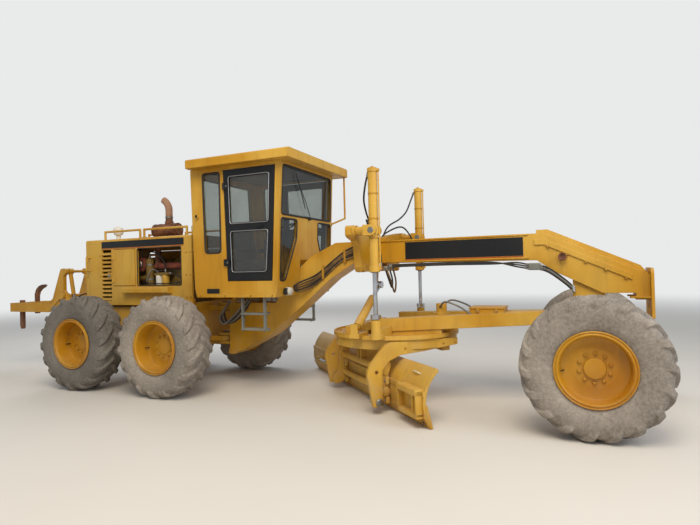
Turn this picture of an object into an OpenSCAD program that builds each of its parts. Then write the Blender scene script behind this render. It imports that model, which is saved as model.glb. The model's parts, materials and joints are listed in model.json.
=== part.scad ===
/* [Machine] */
// Distance from the tandem pivot to the front axle
wheelbase = 5918; // [5600:1:6200]
// Distance from the tandem pivot to each rear wheel
tandem_reach = 762; // [720:1:800]
// Distance from the centre plane to each wheel's centre plane
track_half = 1025; // [980:1:1080]
// Outer radius of a tyre at the tips of its lugs
tyre_r = 665; // [650:1:680]
// Width of a tyre
tyre_w = 445; // [420:1:460]
// Radius of a wheel rim's flange
rim_r = 350; // [340:1:360]

/* [Frames] */
// Forward place of the articulation hinge
hitch_x = 1000; // [990:1:1020]
// Width of the front frame's beam
beam_w = 340; // [300:1:380]
// Height of the top of the front frame's beam
beam_top = 1970; // [1940:1:2000]
// Height of the underside of the front frame's beam
beam_bottom = 1690; // [1660:1:1720]
// Half the width across the hood's sides
hood_half = 500; // [480:1:505]
// Height of the hood's top
hood_top = 2170; // [2140:1:2200]
// Length of the hood behind the tandem pivot
hood_back = 1300; // [1250:1:1320]
// Reach of the hood ahead of the tandem pivot
hood_front = 800; // [780:1:805]

/* [Cab] */
// Half the width across the cab's sides
cab_half = 750; // [730:1:755]
// Height of the cab's lowest edge
cab_bottom = 1290; // [1285:1:1320]
// Height where the cab's walls meet the roof
cab_top = 3010; // [2990:1:3030]
// Half the width of the roof
roof_half = 886; // [860:1:900]
// Thickness of the roof
roof_t = 120; // [100:1:140]

/* [Blade] */
// Forward place of the circle's centre
circle_x = 3640; // [3600:1:3680]
// Outer radius of the circle
circle_r = 765; // [740:1:780]
// Turn of the circle from square across the machine
circle_turn = 45; // [40:1:50]
// Length of the moldboard
blade_len = 3660; // [3600:1:3700]
// How far the moldboard is shifted to the left along its own line
blade_shift = 390; // [350:1:400]
// Radius of the moldboard's front face
blade_r = 412; // [400:1:420]
// Thickness of the moldboard
blade_t = 22; // [20:1:25]
// Distance of the drawbar's ball behind the front axle
ball_back = 278; // [270:1:290]
// Height of the drawbar's ball
ball_z = 1030; // [1020:1:1040]

/* [Cylinders] */
// Forward place of the blade lift cylinders
lift_x = 3720; // [3700:1:3740]
// Distance of the blade lift cylinders from the centre plane
lift_y = 900; // [880:1:920]
// Height of the blade lift cylinders' trunnions
trunnion_z = 2050; // [2030:1:2070]
// Outer diameter of a blade lift cylinder
lift_d = 105; // [100:1:112]
// Diameter of a blade lift cylinder's rod
lift_rod_d = 50; // [45:1:55]

/* [Hidden] */
yellow = "#D39C2C";
rim_yellow = "#C8860F";
rubber = "#6E675C";
black = "#1E1E1E";
steel = "#8C8C88";
chrome = "#D8D8D4";
rust = "#7A4630";
glass = "#9FB4B4";

// The part's origin, below the middle of its box, in the machine's own frame
origin_x = 1574;
origin_y = 42.516;
gap = 6;
pin_gap = 0.5;
ball_x = wheelbase - ball_back;
bar_fn = 24;
round_fn = 48;
wheel_fn = 72;

// Sides: the sign of Y on each side of the machine
RIGHT = -1;
LEFT = 1;
SIDES = [RIGHT, LEFT];

module in_part_frame() translate([-origin_x, -origin_y, 0]) children();

// Outline in the X-Z plane, with its thickness along Y about y
module side_plate(outline, y, t)
    translate([0, y + t/2, 0]) rotate([90, 0, 0]) linear_extrude(t) polygon(outline);

// Outline in the Y-Z plane, with its thickness along X from x
module cross_plate(outline, x, t)
    translate([x, 0, 0]) rotate([90, 0, 90]) linear_extrude(t) polygon(outline);

// Round bar from point p to point q
module bar(p, q, d, fn = bar_fn) {
    v = q - p;
    translate(p) rotate([0, acos(v.z/norm(v)), atan2(v.y, v.x)]) cylinder(h = norm(v), d = d, $fn = fn);
}

// Bent round bar through the listed points
module bent_bar(points, d) {
    for (i = [0:len(points) - 2]) bar(points[i], points[i + 1], d);
    for (i = [1:len(points) - 2]) translate(points[i]) sphere(d = d*1.06, $fn = bar_fn);
}

// Box from corner p to corner q
module box(p, q) translate(p) cube(q - p);

// Box mirrored on both sides of the centre plane, y measured outward
module both_boxes(p, q)
    for (s = SIDES) box([p.x, min(s*p.y, s*q.y), p.z], [q.x, max(s*p.y, s*q.y), q.z]);

// Upright outline with its two upper corners rounded by radius r, columns across, height
function arch(half, z0, z1, r) = concat(
    [[-half, z0]],
    [for (i = [0:4]) [-half + r - r*cos(22.5*i), z1 - r + r*sin(22.5*i)]],
    [for (i = [4:-1:0]) [half - r + r*cos(22.5*i), z1 - r + r*sin(22.5*i)]],
    [[half, z0]]
);

module y_cyl(x, z, y0, y1, d, fn = round_fn)
    translate([x, min(y0, y1), z]) rotate([-90, 0, 0]) cylinder(h = abs(y1 - y0), d = d, $fn = fn);

module x_cyl(x0, x1, y, z, d, fn = round_fn)
    translate([x0, y, z]) rotate([0, 90, 0]) cylinder(h = x1 - x0, d = d, $fn = fn);

module z_cyl(x, y, z0, z1, d, fn = round_fn) translate([x, y, z0]) cylinder(h = z1 - z0, d = d, $fn = fn);

// Wheels: hub bore, axle stub and the planes that they share, measured outward from the wheel's centre
hub_bore_d = 110;
stub_d = hub_bore_d - 2*pin_gap;
hub_in = -190;
front_hub_in = -132;
// Outward places of the hub's face, front wheels and rear wheels
front_face = 70;
rear_face = 0;
hub_wall = 30;
// Rim section from the hub's inner end, columns radius, outward place
function rim(inner, face) = [
    [55, inner], [105, inner], [105, face - 130], [150, face - 50], [300, face - 22], [300, -200], [rim_r, -200],
    [rim_r, -182], [316, -178], [316, 172], [rim_r - 12, 180], [rim_r, 187], [rim_r, 200], [337, 204], [333, 196],
    [323, 196], [319, 204], [305, 203], [298, 190], [293, face + 14], [262, face - 8], [192, face - 2],
    [166, face + 4], [107, face + 4], [98, face + 28], [0, face + 28], [0, face - 15], [55, face - 15]
];
// Tyre carcass section, columns radius, outward place
lug_h = 26;
tread_r = tyre_r - lug_h;
TYRE = [
    [317, -172], [345, -176], [400, 12 - tyre_w/2], [480, 1 - tyre_w/2], [545, 8 - tyre_w/2], [595, 27 - tyre_w/2],
    [623, -158], [tread_r, -90], [tread_r, 90], [623, 158], [595, tyre_w/2 - 27], [545, tyre_w/2 - 8],
    [480, tyre_w/2 - 1], [400, tyre_w/2 - 12], [345, 176], [317, 172]
];
// Lugs: bars swept back from the tread's middle to the shoulder, in two rows half a pitch apart
lugs = 18;
lug_lean = 42;
lug_t = 60;
// Place of a lug's corner in its own plane, from its outward place and its radius
function lug_point(y, r) = [sqrt(r*r - pow(y*tan(lug_lean), 2)), y/cos(lug_lean)];
LUG = [
    lug_point(0, tread_r - 14), lug_point(0, tyre_r - 2), lug_point(118, tyre_r - 3), lug_point(172, 650),
    lug_point(208, 618), lug_point(221, 580), lug_point(207, 556), lug_point(150, 612)
];

// A row of lugs; lean is the sign of their sweep round the wheel
module lug_row(lean) for (i = [0:lugs - 1]) rotate([0, 0, i*360/lugs])
    rotate([lean*lug_lean, 0, 0]) rotate([90, 0, 0]) translate([0, 0, -lug_t/2]) linear_extrude(lug_t) polygon(LUG);

module wheel(x, side, inner, face, lead) translate([x, side*track_half, tyre_r]) rotate([side*-90, 0, 0]) {
    color(rim_yellow) rotate_extrude($fn = wheel_fn) polygon(rim(inner, face));
    color(rubber) {
        rotate_extrude($fn = wheel_fn) polygon(TYRE);
        rotate([0, 0, side*lead*12]) lug_row(-side*lead);
        rotate([0, 0, side*lead*12 + 180/lugs]) mirror([0, 0, 1]) lug_row(-side*lead);
    }
}

// Rear frame
engine_bottom = 1000;
seat_gap = 0.3;
rail_y = 400;
rail_back = -1600;
rail_bottom = 800;
rail_top = 1130;
hitch_box_x = 620;
hitch_box_end = 790;
tongue_r = 130;
pin_d = 90;
// Hitch plates, columns underside, top: the rear frame's tongues
TONGUES = [[620, 690], [1064, 1134]];
// The front frame's fork plates
FORKS = [[574, 614], [696, 736], [1018, 1058], [1140, 1180]];

module rear_frame() in_part_frame() color(yellow) {
    difference() {
        union() {
            both_boxes([rail_back, rail_y - 30, rail_bottom], [700, rail_y + 30, rail_top]);
            box([rail_back - 40, -520, 720], [rail_back, 520, 1150]);
            box([hitch_box_x, -370, 560], [hitch_box_end, 370, 1190]);
            for (t = TONGUES) {
                box([hitch_box_end, -tongue_r, t[0]], [hitch_x, tongue_r, t[1]]);
                z_cyl(hitch_x, 0, t[0], t[1], 2*tongue_r);
            }
            box([-330, -370, 840], [-250, 370, engine_bottom - seat_gap]);
            box([-1160, -370, 840], [-1080, 370, engine_bottom - seat_gap]);
            both_boxes([620, 370, 1130], [790, 469, 1190]);
        }
        for (t = TONGUES) z_cyl(hitch_x, 0, t[0] - 1, t[1] + 1, pin_d + 2*pin_gap);
    }
}

module rear_axle() in_part_frame() color(yellow) {
    y_cyl(0, tyre_r, -560, 560, 268);
    for (s = SIDES) y_cyl(0, tyre_r, s*430, s*560, 400);
    translate([0, 0, tyre_r]) sphere(d = 470, $fn = round_fn);
    both_boxes([-130, 340, 790], [130, 460, 800]);
}

// Tandem cases
case_in = 560;
case_out = 765;
case_r = 235;

module tandem_cases() in_part_frame() color(yellow) for (s = SIDES) {
    for (x = [-tandem_reach, 0, tandem_reach]) y_cyl(x, tyre_r, s*case_in, s*case_out, 2*case_r);
    both_boxes([-tandem_reach, case_in + 10, tyre_r - 215], [tandem_reach, case_out - 10, tyre_r + 215]);
    for (x = [-tandem_reach, tandem_reach]) {
        y_cyl(x, tyre_r, s*case_out, s*(case_out + 40), 260);
        y_cyl(x, tyre_r, s*case_out, s*(track_half + rear_face - hub_wall), stub_d);
    }
}

// Hood: a sheet shell with louvres, doors and an open engine bay on its right side
sheet = 30;
hood_bottom = 1160;
hood_split = -230;
bay_front = 610;
bay_bottom = 1450;
panel_top = 2010;
panel_back = -720;
louvre_back = -960;
louvre_front = -760;
louvre_z0 = 1230;
louvre_count = 12;
louvre_pitch = 63;
hood_r = 30;

module hood() in_part_frame() color(yellow) {
    difference() {
        cross_plate(arch(hood_half, hood_bottom, hood_top, hood_r), -hood_back, hood_back + hood_front);
        cross_plate(arch(hood_half - sheet, hood_bottom - 1, hood_top - sheet, hood_r - 8), sheet - hood_back,
                    hood_back + hood_front - sheet + 1);
        // Right side: open bay and the closed door's opening
        box([hood_split, -hood_half - 1, bay_bottom], [bay_front, -hood_half + sheet + 1, panel_top]);
        box([panel_back, -hood_half - 1, bay_bottom], [hood_split - 40, -hood_half + sheet + 1, panel_top]);
        // Left side: one long door's opening
        box([panel_back, hood_half - sheet - 1, bay_bottom], [bay_front, hood_half + 1, panel_top]);
        // Radiator's side openings, behind their louvres
        both_boxes([louvre_back, hood_half - sheet - 1, louvre_z0], [louvre_front, hood_half + 1, panel_top]);
        // Rear: opening behind the radiator grille
        box([-hood_back - 1, -380, 1240], [-hood_back + sheet + 1, 380, 2060]);
    }
    // Front pillars down to the frame
    both_boxes([640, hood_half - 60, 1190], [hood_front, hood_half - sheet, hood_bottom + 100]);
    // Slanted louvres on both sides, and the latch plate across them
    for (m = [0, 1]) mirror([0, m, 0]) {
        for (i = [0:louvre_count - 1]) translate([0, 0, louvre_z0 + i*louvre_pitch])
            cross_plate([[hood_half - sheet, 34], [hood_half - sheet, 44], [hood_half + 4, 12], [hood_half + 4, 2]],
                        louvre_back - 1, louvre_front - louvre_back + 2);
        box([louvre_front - 70, hood_half - 6, 1560], [louvre_front + 1, hood_half + 9, 1660]);
    }
    // Radiator grille bars
    for (i = [0:12]) box([-hood_back - 10, -381, 1255 + i*62], [-hood_back + sheet, 381, 1285 + i*62]);
    // Shelf along both sides under the bay, its outer edges rounded
    for (m = [0, 1]) mirror([0, m, 0]) cross_plate(
        [[hood_half - 1, 1340], [hood_half + 78, 1340], [hood_half + 90, 1345], [hood_half + 95, 1357],
         [hood_half + 95, 1413], [hood_half + 90, 1425], [hood_half + 78, 1430], [hood_half - 1, 1430]], -450, 880);
    // Filler cap and the low elbow beside it
    z_cyl(hood_front - 190, -160, hood_top - 1, hood_top + 62, 150);
    z_cyl(hood_front - 190, -160, hood_top + 61, hood_top + 78, 120);
    z_cyl(-700, 120, hood_top - 1, hood_top + 40, 90);
}

module engine_door(side, front) in_part_frame() color(yellow) {
    y0 = side > 0 ? hood_half - 22 : -hood_half - 8;
    box([panel_back + gap, y0, bay_bottom + gap], [front - gap, y0 + 30, panel_top - gap]);
    for (z = [1500, 1850]) {
        z_cyl(panel_back - 2, side*(hood_half + 10.5), z, z + 100, 20, bar_fn);
        both_boxes_one(side, [panel_back - 2, hood_half + 4, z + 5], [panel_back + 60, hood_half + 13, z + 95]);
    }
}

module engine_door_right() engine_door(RIGHT, hood_split - 40);
module engine_door_left() engine_door(LEFT, bay_front);

module engine() in_part_frame() {
    color("#8F7A2E") {
        // Sump, block with its side cover and flywheel housing, head
        box([-560, -150, engine_bottom], [400, 150, 1120]);
        box([-600, -215, 1100], [430, 215, 1500]);
        box([-520, -245, 1180], [340, 245, 1440]);
        x_cyl(400, 500, 0, 1270, 520);
        box([-560, -180, 1500], [400, 180, 1690]);
        // Valve covers
        for (x = [-420, -80, 260]) {
            box([x - 150, -120, 1690], [x + 130, 120, 1765]);
            x_cyl(x - 150, x + 130, 0, 1765, 200);
        }
        // Mounts that stand on the frame's cross members
        for (x = [-1120, -290]) box([x - 38, -215, engine_bottom], [x + 38, 215, 1110]);
    }
    // Exhaust manifold with its six runners, turbocharger and riser
    color(rust) {
        x_cyl(manifold_x0, manifold_x1, manifold_y, manifold_z, 90);
        for (i = [0:5]) y_cyl(manifold_x0 + 40 + i*126, manifold_z, manifold_y, -175, 62);
        y_cyl(manifold_x0 - 55, manifold_z + 30, manifold_y - 75, manifold_y + 45, 210);
        x_cyl(manifold_x0 - 60, manifold_x0 + 2, manifold_y, manifold_z, 76);
        z_cyl(-60, manifold_y, manifold_z, hood_top - sheet - 1, 84);
    }
    color(steel) {
        // Air pipe from the turbocharger, with its elbow
        y_cyl(manifold_x0 - 55, manifold_z + 30, manifold_y - 110, manifold_y - 70, 96);
        // Injection pump and lines' rail
        x_cyl(-380, -120, -262, 1560, 96);
        box([-380, -262, 1512], [-120, -170, 1552]);
    }
    // Spin-on filters under their head, upright tank on its bracket
    color(black) {
        box([-60, -345, 1600], [200, -170, 1640]);
        for (x = [10, 130]) z_cyl(x, -300, 1440, 1601, 104);
        box([-225, -390, 1432], [-75, -200, 1452]);
        z_cyl(-150, -325, 1451, 1850, 118);
        z_cyl(-150, -325, 1849, 1872, 60);
        // Alternator and its bracket
        x_cyl(-640, -500, -290, 1560, 150);
        box([-620, -290, 1485], [-520, -200, 1545]);
    }
    // Radiator, fan with its hub and shaft
    color(steel) {
        box([-1180, -330, 1109], [-1060, 330, 2080]);
        for (a = [0:5]) translate([-1016, 0, 1650]) rotate([a*60, 0, 0]) rotate([0, 0, 24])
            box([-6, -45, 60], [6, 45, 300]);
        x_cyl(-1061, -955, 0, 1650, 150);
        x_cyl(-956, -590, 0, 1650, 70);
        box([-640, -60, 1450], [-580, 60, 1700]);
    }
}

manifold_x0 = -250;
manifold_x1 = 430;
manifold_y = -250;
manifold_z = 1740;

// Exhaust: a muffler lying on the hood and a pipe that bends rearward at its top
module exhaust() in_part_frame() color(rust) {
    x_cyl(-330, 120, 0, 2300, 210);
    for (x = [-352, 119]) x_cyl(x, x + 23, 0, 2300, 168);
    for (x = [-240, 20]) {
        x_cyl(x, x + 36, 0, 2300, 218);
        both_boxes([x, 0, hood_top], [x + 36, 70, 2240]);
    }
    // Pipe: straight up, then bent rearward
    z_cyl(pipe_x, 0, 2360, pipe_bend_z, pipe_d);
    z_cyl(pipe_x, 0, 2400, 2440, pipe_d + 22);
    translate([pipe_x - pipe_bend_r, 0, pipe_bend_z]) rotate([90, 0, 0])
        rotate_extrude(angle = 62, $fn = wheel_fn) translate([pipe_bend_r, 0]) circle(d = pipe_d, $fn = round_fn);
}
pipe_x = -60;
pipe_d = 108;
pipe_bend_r = 190;
pipe_bend_z = 2610;

module air_intake() in_part_frame() color("white") translate([-950, -180, 0]) rotate_extrude($fn = round_fn)
    polygon([[0, hood_top], [50, hood_top], [50, hood_top + 12], [34, hood_top + 16], [34, 2252], [62, 2262],
             [75, 2290], [78, 2330], [70, 2368], [46, 2394], [22, 2404], [0, 2405]]);

rail_d = 34;
module handrails() in_part_frame() color(yellow) {
    // Top rails, columns rear end, front end
    for (s = SIDES) for (r = [[-930, -210], [-130, 680]])
        bent_bar([[r[0], s*450, hood_top], [r[0], s*450, 2290], [r[1], s*450, 2290], [r[1], s*450, hood_top]], rail_d);
    for (s = SIDES)
        bent_bar([[-1210, s*hood_half, 1700], [-1210, s*(hood_half + 70), 1700],
                  [-1210, s*(hood_half + 70), 1900], [-1210, s*hood_half, 1900]], rail_d - 6);
}

// Ripper: towers fixed to the machine, arms on a torque tube outside them, cylinders inside
tower_y = 246;
tower_t = 60;
ripper_arm_y = 302;
ripper_arm_t = 40;
ripper_pivot_x = -2120;
ripper_pivot_z = 1285;
ripper_cyl_y = 150;
ripper_top = [-2116, 0, 1700];
ripper_eye = [-2013, 0, 1150];
ripper_v = (ripper_eye - ripper_top)/norm(ripper_eye - ripper_top);
RIPPER_TOWER = [
    [-1640, 740], [-1640, 1180], [-2040, 1240], [-2080, 1330], [-2125, 1380], [-2125, 1620], [-2062, 1680],
    [-2066, 1730], [-2110, 1752], [-2190, 1740], [-2215, 1690], [-2398, 1240], [-2500, 1178], [-2500, 1165],
    [-2200, 1190], [-1760, 860]
];

module ripper_mount() in_part_frame() color(yellow) {
    difference() {
        for (s = SIDES) side_plate(RIPPER_TOWER, s*tower_y, tower_t);
        y_cyl(ripper_pivot_x, ripper_pivot_z, -300, 300, 60 + 2*pin_gap);
    }
    box([-1700, -tower_y, 760], [-1640, tower_y, 1120]);
    y_cyl(ripper_top.x, ripper_top.z, -tower_y, tower_y, 46);
}

RIPPER_ARM = [
    [-3435, 1015], [-2440, 1015], [-2190, 1232], [-2120, 1238], [-2075, 1265], [-2072, 1315], [-2110, 1340],
    [-2180, 1320], [-2361, 1168], [-3435, 1168]
];
RIPPER_LEVER = [
    [-2165, 1285], [-2140, 1325], [-2100, 1328], [-1972, 1165], [-1975, 1130], [-2010, 1108], [-2050, 1120]
];

module ripper_frame() in_part_frame() color(yellow) {
    for (s = SIDES) side_plate(RIPPER_ARM, s*ripper_arm_y, ripper_arm_t);
    difference() {
        box([-3435, -ripper_arm_y, 1015], [-3226, ripper_arm_y, 1168]);
        // Pockets for the shanks
        for (k = SHANKS) box([-3370.3, k[1] - 25.3, 1014], [-3289.7, k[1] + 25.3, 1169]);
    }
    y_cyl(ripper_pivot_x, ripper_pivot_z, -ripper_arm_y, ripper_arm_y, 60);
    for (s = SIDES) for (y = [107.5, 192.5]) side_plate(RIPPER_LEVER, s*y, 24);
}

// Shanks in the beam: one stored with its point up, one hanging
SHANK_UP = [
    [-3370, 950], [-3290, 950], [-3290, 1270], [-3262, 1345], [-3200, 1396], [-3120, 1430], [-3080, 1462],
    [-3110, 1480], [-3180, 1474], [-3262, 1448], [-3330, 1390], [-3370, 1300]
];
SHANK_DOWN = [[-3370, 760], [-3345, 700], [-3300, 700], [-3290, 760], [-3290, 1210], [-3370, 1210]];
SHANKS = [[SHANK_UP, 110], [SHANK_DOWN, -170]];

module ripper_shanks() in_part_frame() color(rust) for (k = SHANKS) side_plate(k[0], k[1], 50);

module ripper_barrel() in_part_frame() color(yellow) for (s = SIDES) translate([0, s*ripper_cyl_y, 0]) difference() {
    union() {
        bar(ripper_top + 30*ripper_v, ripper_top + 400*ripper_v, 64);
        y_cyl(ripper_top.x, ripper_top.z, -38, 38, 100);
    }
    y_cyl(ripper_top.x, ripper_top.z, -39, 39, 46 + 2*pin_gap);
    bar(ripper_top + 70*ripper_v, ripper_top + 401*ripper_v, 48);
}

module ripper_rod() in_part_frame() color(chrome) for (s = SIDES) translate([0, s*ripper_cyl_y, 0]) {
    bar(ripper_top + 300*ripper_v, ripper_eye - 20*ripper_v, 32);
    y_cyl(ripper_eye.x, ripper_eye.z, -30, 30, 76);
}

module wheel_rear_right() in_part_frame() wheel(-tandem_reach, RIGHT, hub_in, rear_face, 1);
module wheel_rear_left() in_part_frame() wheel(-tandem_reach, LEFT, hub_in, rear_face, 1);
module wheel_middle_right() in_part_frame() wheel(tandem_reach, RIGHT, hub_in, rear_face, 1);
module wheel_middle_left() in_part_frame() wheel(tandem_reach, LEFT, hub_in, rear_face, 1);
module wheel_front_right() in_part_frame() wheel(wheelbase, RIGHT, front_hub_in, front_face, -1);
module wheel_front_left() in_part_frame() wheel(wheelbase, LEFT, front_hub_in, front_face, -1);

// Front frame: hitch fork, gooseneck, beam, nose and axle bolster
plate_x = wheelbase + 562;
bolster_rear = wheelbase - 173;
bolster_front = wheelbase + 142;
flange_out = 12;
flange_t = 18;
GOOSENECK = [
    [1180, 574], [1150, 450], [1240, 440], [1550, 580], [1850, 730], [2350, 1120], [2810, 1495], [3140, beam_bottom],
    [wheelbase - 538, beam_bottom - 20], [wheelbase - 338, 1530], [wheelbase + 122, 1300], [wheelbase + 432, 1300],
    [wheelbase + 432, 1230], [plate_x, 1230], [plate_x, 1490], [wheelbase - 458, beam_top], [2900, beam_top],
    [2530, 1800], [2220, 1540], [1960, 1180], [1180, 1180]
];
axle_pin_z = 860;
ball_d = 120;
socket_d = ball_d + 2*pin_gap;

// Neck, beam and nose are three closed shells that meet at seams this wide
seam = 0.3;
SEAM_X = [2810, wheelbase - 600];

module front_frame() in_part_frame() color(yellow) {
    difference() {
        side_plate(GOOSENECK, 0, beam_w);
        for (x = SEAM_X) box([x, -beam_w, 1400], [x + seam, beam_w, 2100]);
    }
    // Flanges along the beam's top and bottom
    for (z = [beam_bottom, beam_top - flange_t]) for (k = [[3150, arm_x0 - 14], [arm_x1 + 14, wheelbase - 620]])
        both_boxes([k[0], beam_w/2 - 1, z], [k[1], beam_w/2 + flange_out, z + flange_t]);
    for (f = FORKS) {
        box([hitch_x, -120, f[0]], [1190, 120, f[1]]);
        z_cyl(hitch_x, 0, f[0], f[1], 240);
    }
    z_cyl(hitch_x, 0, 560, 740, pin_d);
    z_cyl(hitch_x, 0, 1010, 1190, pin_d);
    // Bolster that carries the axle's pivot
    difference() {
        union() {
            box([bolster_rear, -130, 780], [bolster_rear + 75, 130, 1450]);
            box([bolster_front - 44, -130, 780], [bolster_front, 130, 1330]);
            box([bolster_rear, -130, 960], [bolster_front, 130, 1400]);
            x_cyl(ball_x - 35, bolster_rear, 0, ball_z, 210);
        }
        translate([ball_x, 0, ball_z]) sphere(d = socket_d, $fn = round_fn);
        translate([ball_x - 36, 0, ball_z]) rotate([0, 90, 0]) cylinder(h = 36, d1 = 130, d2 = 100, $fn = round_fn);
        x_cyl(bolster_rear + 20, bolster_front + 1, 0, axle_pin_z, 110 + 2*pin_gap);
    }
    // Front plate with its bolt holes, its upper corners rounded
    difference() {
        cross_plate(arch(250, 1040, 1560, 60), plate_x, 30);
        for (y = [-190, 190]) for (z = [1100, 1500]) x_cyl(plate_x - 1, plate_x + 31, y, z, 27);
        x_cyl(plate_x - 1, plate_x + 31, 0, 1140, 60);
    }
    // Gussets between the nose and the front plate
    both_boxes_nose();
    // Rib along the nose's slope
    side_plate([[wheelbase - 538, 2010], [wheelbase - 418, 2010], [wheelbase + 482, 1590], [plate_x, 1490],
                [wheelbase - 458, 1960], [wheelbase - 538, 1960]], 0, beam_w - 60);
    // Raised frame on both cheeks of the nose
    for (s = SIDES) side_plate([[wheelbase - 560, 1900], [wheelbase - 450, 1900], [wheelbase + 400, 1500],
                                [wheelbase + 400, 1440], [wheelbase - 460, 1840], [wheelbase - 560, 1840]],
                               s*(beam_w/2 + 7), 16);
    // Horn on the right cheek
    y_cyl(wheelbase - 270, 1700, -beam_w/2 + 1, -beam_w/2 - 46, 84);
}

// Three-cornered gussets on both sides of the nose's tip
module both_boxes_nose() for (s = SIDES) translate([0, 0, 1245]) linear_extrude(20)
    polygon([[plate_x - 190, s*(beam_w/2 - 1)], [plate_x + 1, s*(beam_w/2 - 1)], [plate_x + 1, s*235]]);

// Lift arms: castings on both sides of the beam that carry the cylinders' yokes
arm_x0 = 3390;
arm_x1 = 3480;
yoke_in = 66;
// Plate that carries the centre shift cylinder's eye
lug_x = arm_x0 - 18;
lug_plate_t = 26;
module lift_arms() in_part_frame() color(yellow) {
    for (s = SIDES) {
        mirror([0, s > 0 ? 0 : 1, 0]) {
            cross_plate([[beam_w/2, 1650], [beam_w/2, 2030], [300, 2062], [840, 2120], [920, 2118], [952, 2090],
                         [952, 2010], [920, 1985], [800, 1950], [735, 1880], [700, 1640], [665, 1590], [600, 1580],
                         [545, 1650]], arm_x0, arm_x1 - arm_x0);
            x_cyl(arm_x1, 3630, lift_y, trunnion_z, 100);
            x_cyl(arm_x1, arm_x1 + 34, lift_y, trunnion_z, 132);
            // Pin bosses
            x_cyl(arm_x0 - 12, arm_x1 + 12, 622, 1632, 92);
            x_cyl(arm_x0 - 12, arm_x1 + 12, 300, 1975, 84);
        }
        // Yoke cheeks on both sides of the barrel
        difference() {
            union() {
                box([3625, s*lift_y - 100, trunnion_z - 60], [3655, s*lift_y + 100, trunnion_z + 60]);
                for (t = SIDES) {
                    y0 = s*lift_y + t*yoke_in;
                    y1 = s*lift_y + t*100;
                    box([3625, min(y0, y1), trunnion_z - 60], [lift_x, max(y0, y1), trunnion_z + 60]);
                    y_cyl(lift_x, trunnion_z, y0, y1, 120);
                }
            }
            y_cyl(lift_x, trunnion_z, s*lift_y - 120, s*lift_y + 120, 44 + 2*pin_gap);
        }
    }
    // Link bar under the beam, and the lug for the centre shift cylinder
    box([arm_x0 + 10, -640, 1585], [arm_x1 - 10, 640, 1652]);
    box([lug_x, -90, 1585], [arm_x1 - 10, 90, 1652]);
    cross_plate([[-90, 1652], [-50, 1390], [-30, 1365], [30, 1365], [50, 1390], [90, 1652]], lug_x, lug_plate_t);
}

barrel_top = 2750;
barrel_bottom = 1584;
pad_top = 1046;
rod_gap = 12;

module lift_barrel(side) in_part_frame() color(yellow) {
    difference() {
        union() {
            z_cyl(lift_x, side*lift_y, barrel_bottom, barrel_top, lift_d);
            z_cyl(lift_x, side*lift_y, barrel_bottom, barrel_bottom + 70, 126);
            z_cyl(lift_x, side*lift_y, barrel_top - 46, barrel_top - 8, lift_d + 12);
            z_cyl(lift_x, side*lift_y, trunnion_z - 45, trunnion_z + 45, 124);
            y_cyl(lift_x, trunnion_z, side*lift_y - 100, side*lift_y + 100, 44);
            // Oil line along the barrel
            z_cyl(lift_x + 70, side*lift_y, barrel_bottom + 30, barrel_top - 30, 18);
            for (z = [barrel_bottom + 22, barrel_top - 40])
                box([lift_x + 40, side*lift_y - 14, z], [lift_x + 82, side*lift_y + 14, z + 26]);
        }
        z_cyl(lift_x, side*lift_y, barrel_bottom + 40, barrel_top - 25, 88);
        z_cyl(lift_x, side*lift_y, barrel_bottom - 1, barrel_bottom + 41, lift_rod_d + 2*pin_gap);
    }
}

module lift_rod(side) in_part_frame() {
    color(chrome) {
        z_cyl(lift_x, side*lift_y, pad_top + rod_gap + 30, 2190, lift_rod_d);
        z_cyl(lift_x, side*lift_y, 2190, 2230, 86);
    }
    color(yellow) z_cyl(lift_x, side*lift_y, pad_top + rod_gap, pad_top + rod_gap + 45, 120);
}

module lift_barrel_right() lift_barrel(RIGHT);
module lift_barrel_left() lift_barrel(LEFT);
module lift_rod_right() lift_rod(RIGHT);
module lift_rod_left() lift_rod(LEFT);

// Front wall: place at its sill, and how far it leans forward up to the roof
sill_z = 1410;
front_sill = 2360;
front_rake = 80;
front_lean = atan(front_rake/(cab_top - sill_z));
// Cab: side outline, columns forward, height
cab_wall = 40;
CAB = [
    [1090, cab_bottom], [2330, cab_bottom], [front_sill, sill_z], [front_sill + front_rake, cab_top],
    [1018, cab_top], [1060, sill_z]
];
CAB_INSIDE = [
    [1140, cab_bottom + 60], [2285, cab_bottom + 60], [front_sill - 42, sill_z],
    [front_sill + front_rake - 40, cab_top + 1], [1058, cab_top + 1], [1102, sill_z]
];
// Space kept free over the gooseneck under the cab's floor
TUNNEL = [[1880, 1200], [2000, 1300], [2190, 1590], [2480, 1860], [2560, 1860], [2560, 1200]];
TUNNEL_COVER = [[1840, 1200], [1960, 1330], [2160, 1625], [2470, 1905], [2600, 1905], [2600, 1200]];
tunnel_half = beam_w/2 + 20;
// Door opening, columns forward, height
DOOR = [[1600, 1500], [2285, 1500], [2362, cab_top - 45], [1556, cab_top - 45]];
DOOR_LEAF = [[1608, 1508], [2277, 1508], [2353, cab_top - 53], [1565, cab_top - 53]];
DOOR_LOW = [[1680, 1620], [2200, 1620], [2240, cab_top - 860], [1665, cab_top - 860]];
DOOR_HIGH = [[1662, cab_top - 760], [2247, cab_top - 760], [2272, cab_top - 140], [1645, cab_top - 140]];
REAR_SIDE = [
    [1250, cab_top - 1130], [1500, cab_top - 1130], [1500, cab_top - 70], [1222, cab_top - 70], [1210, cab_top - 84]
];
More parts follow.
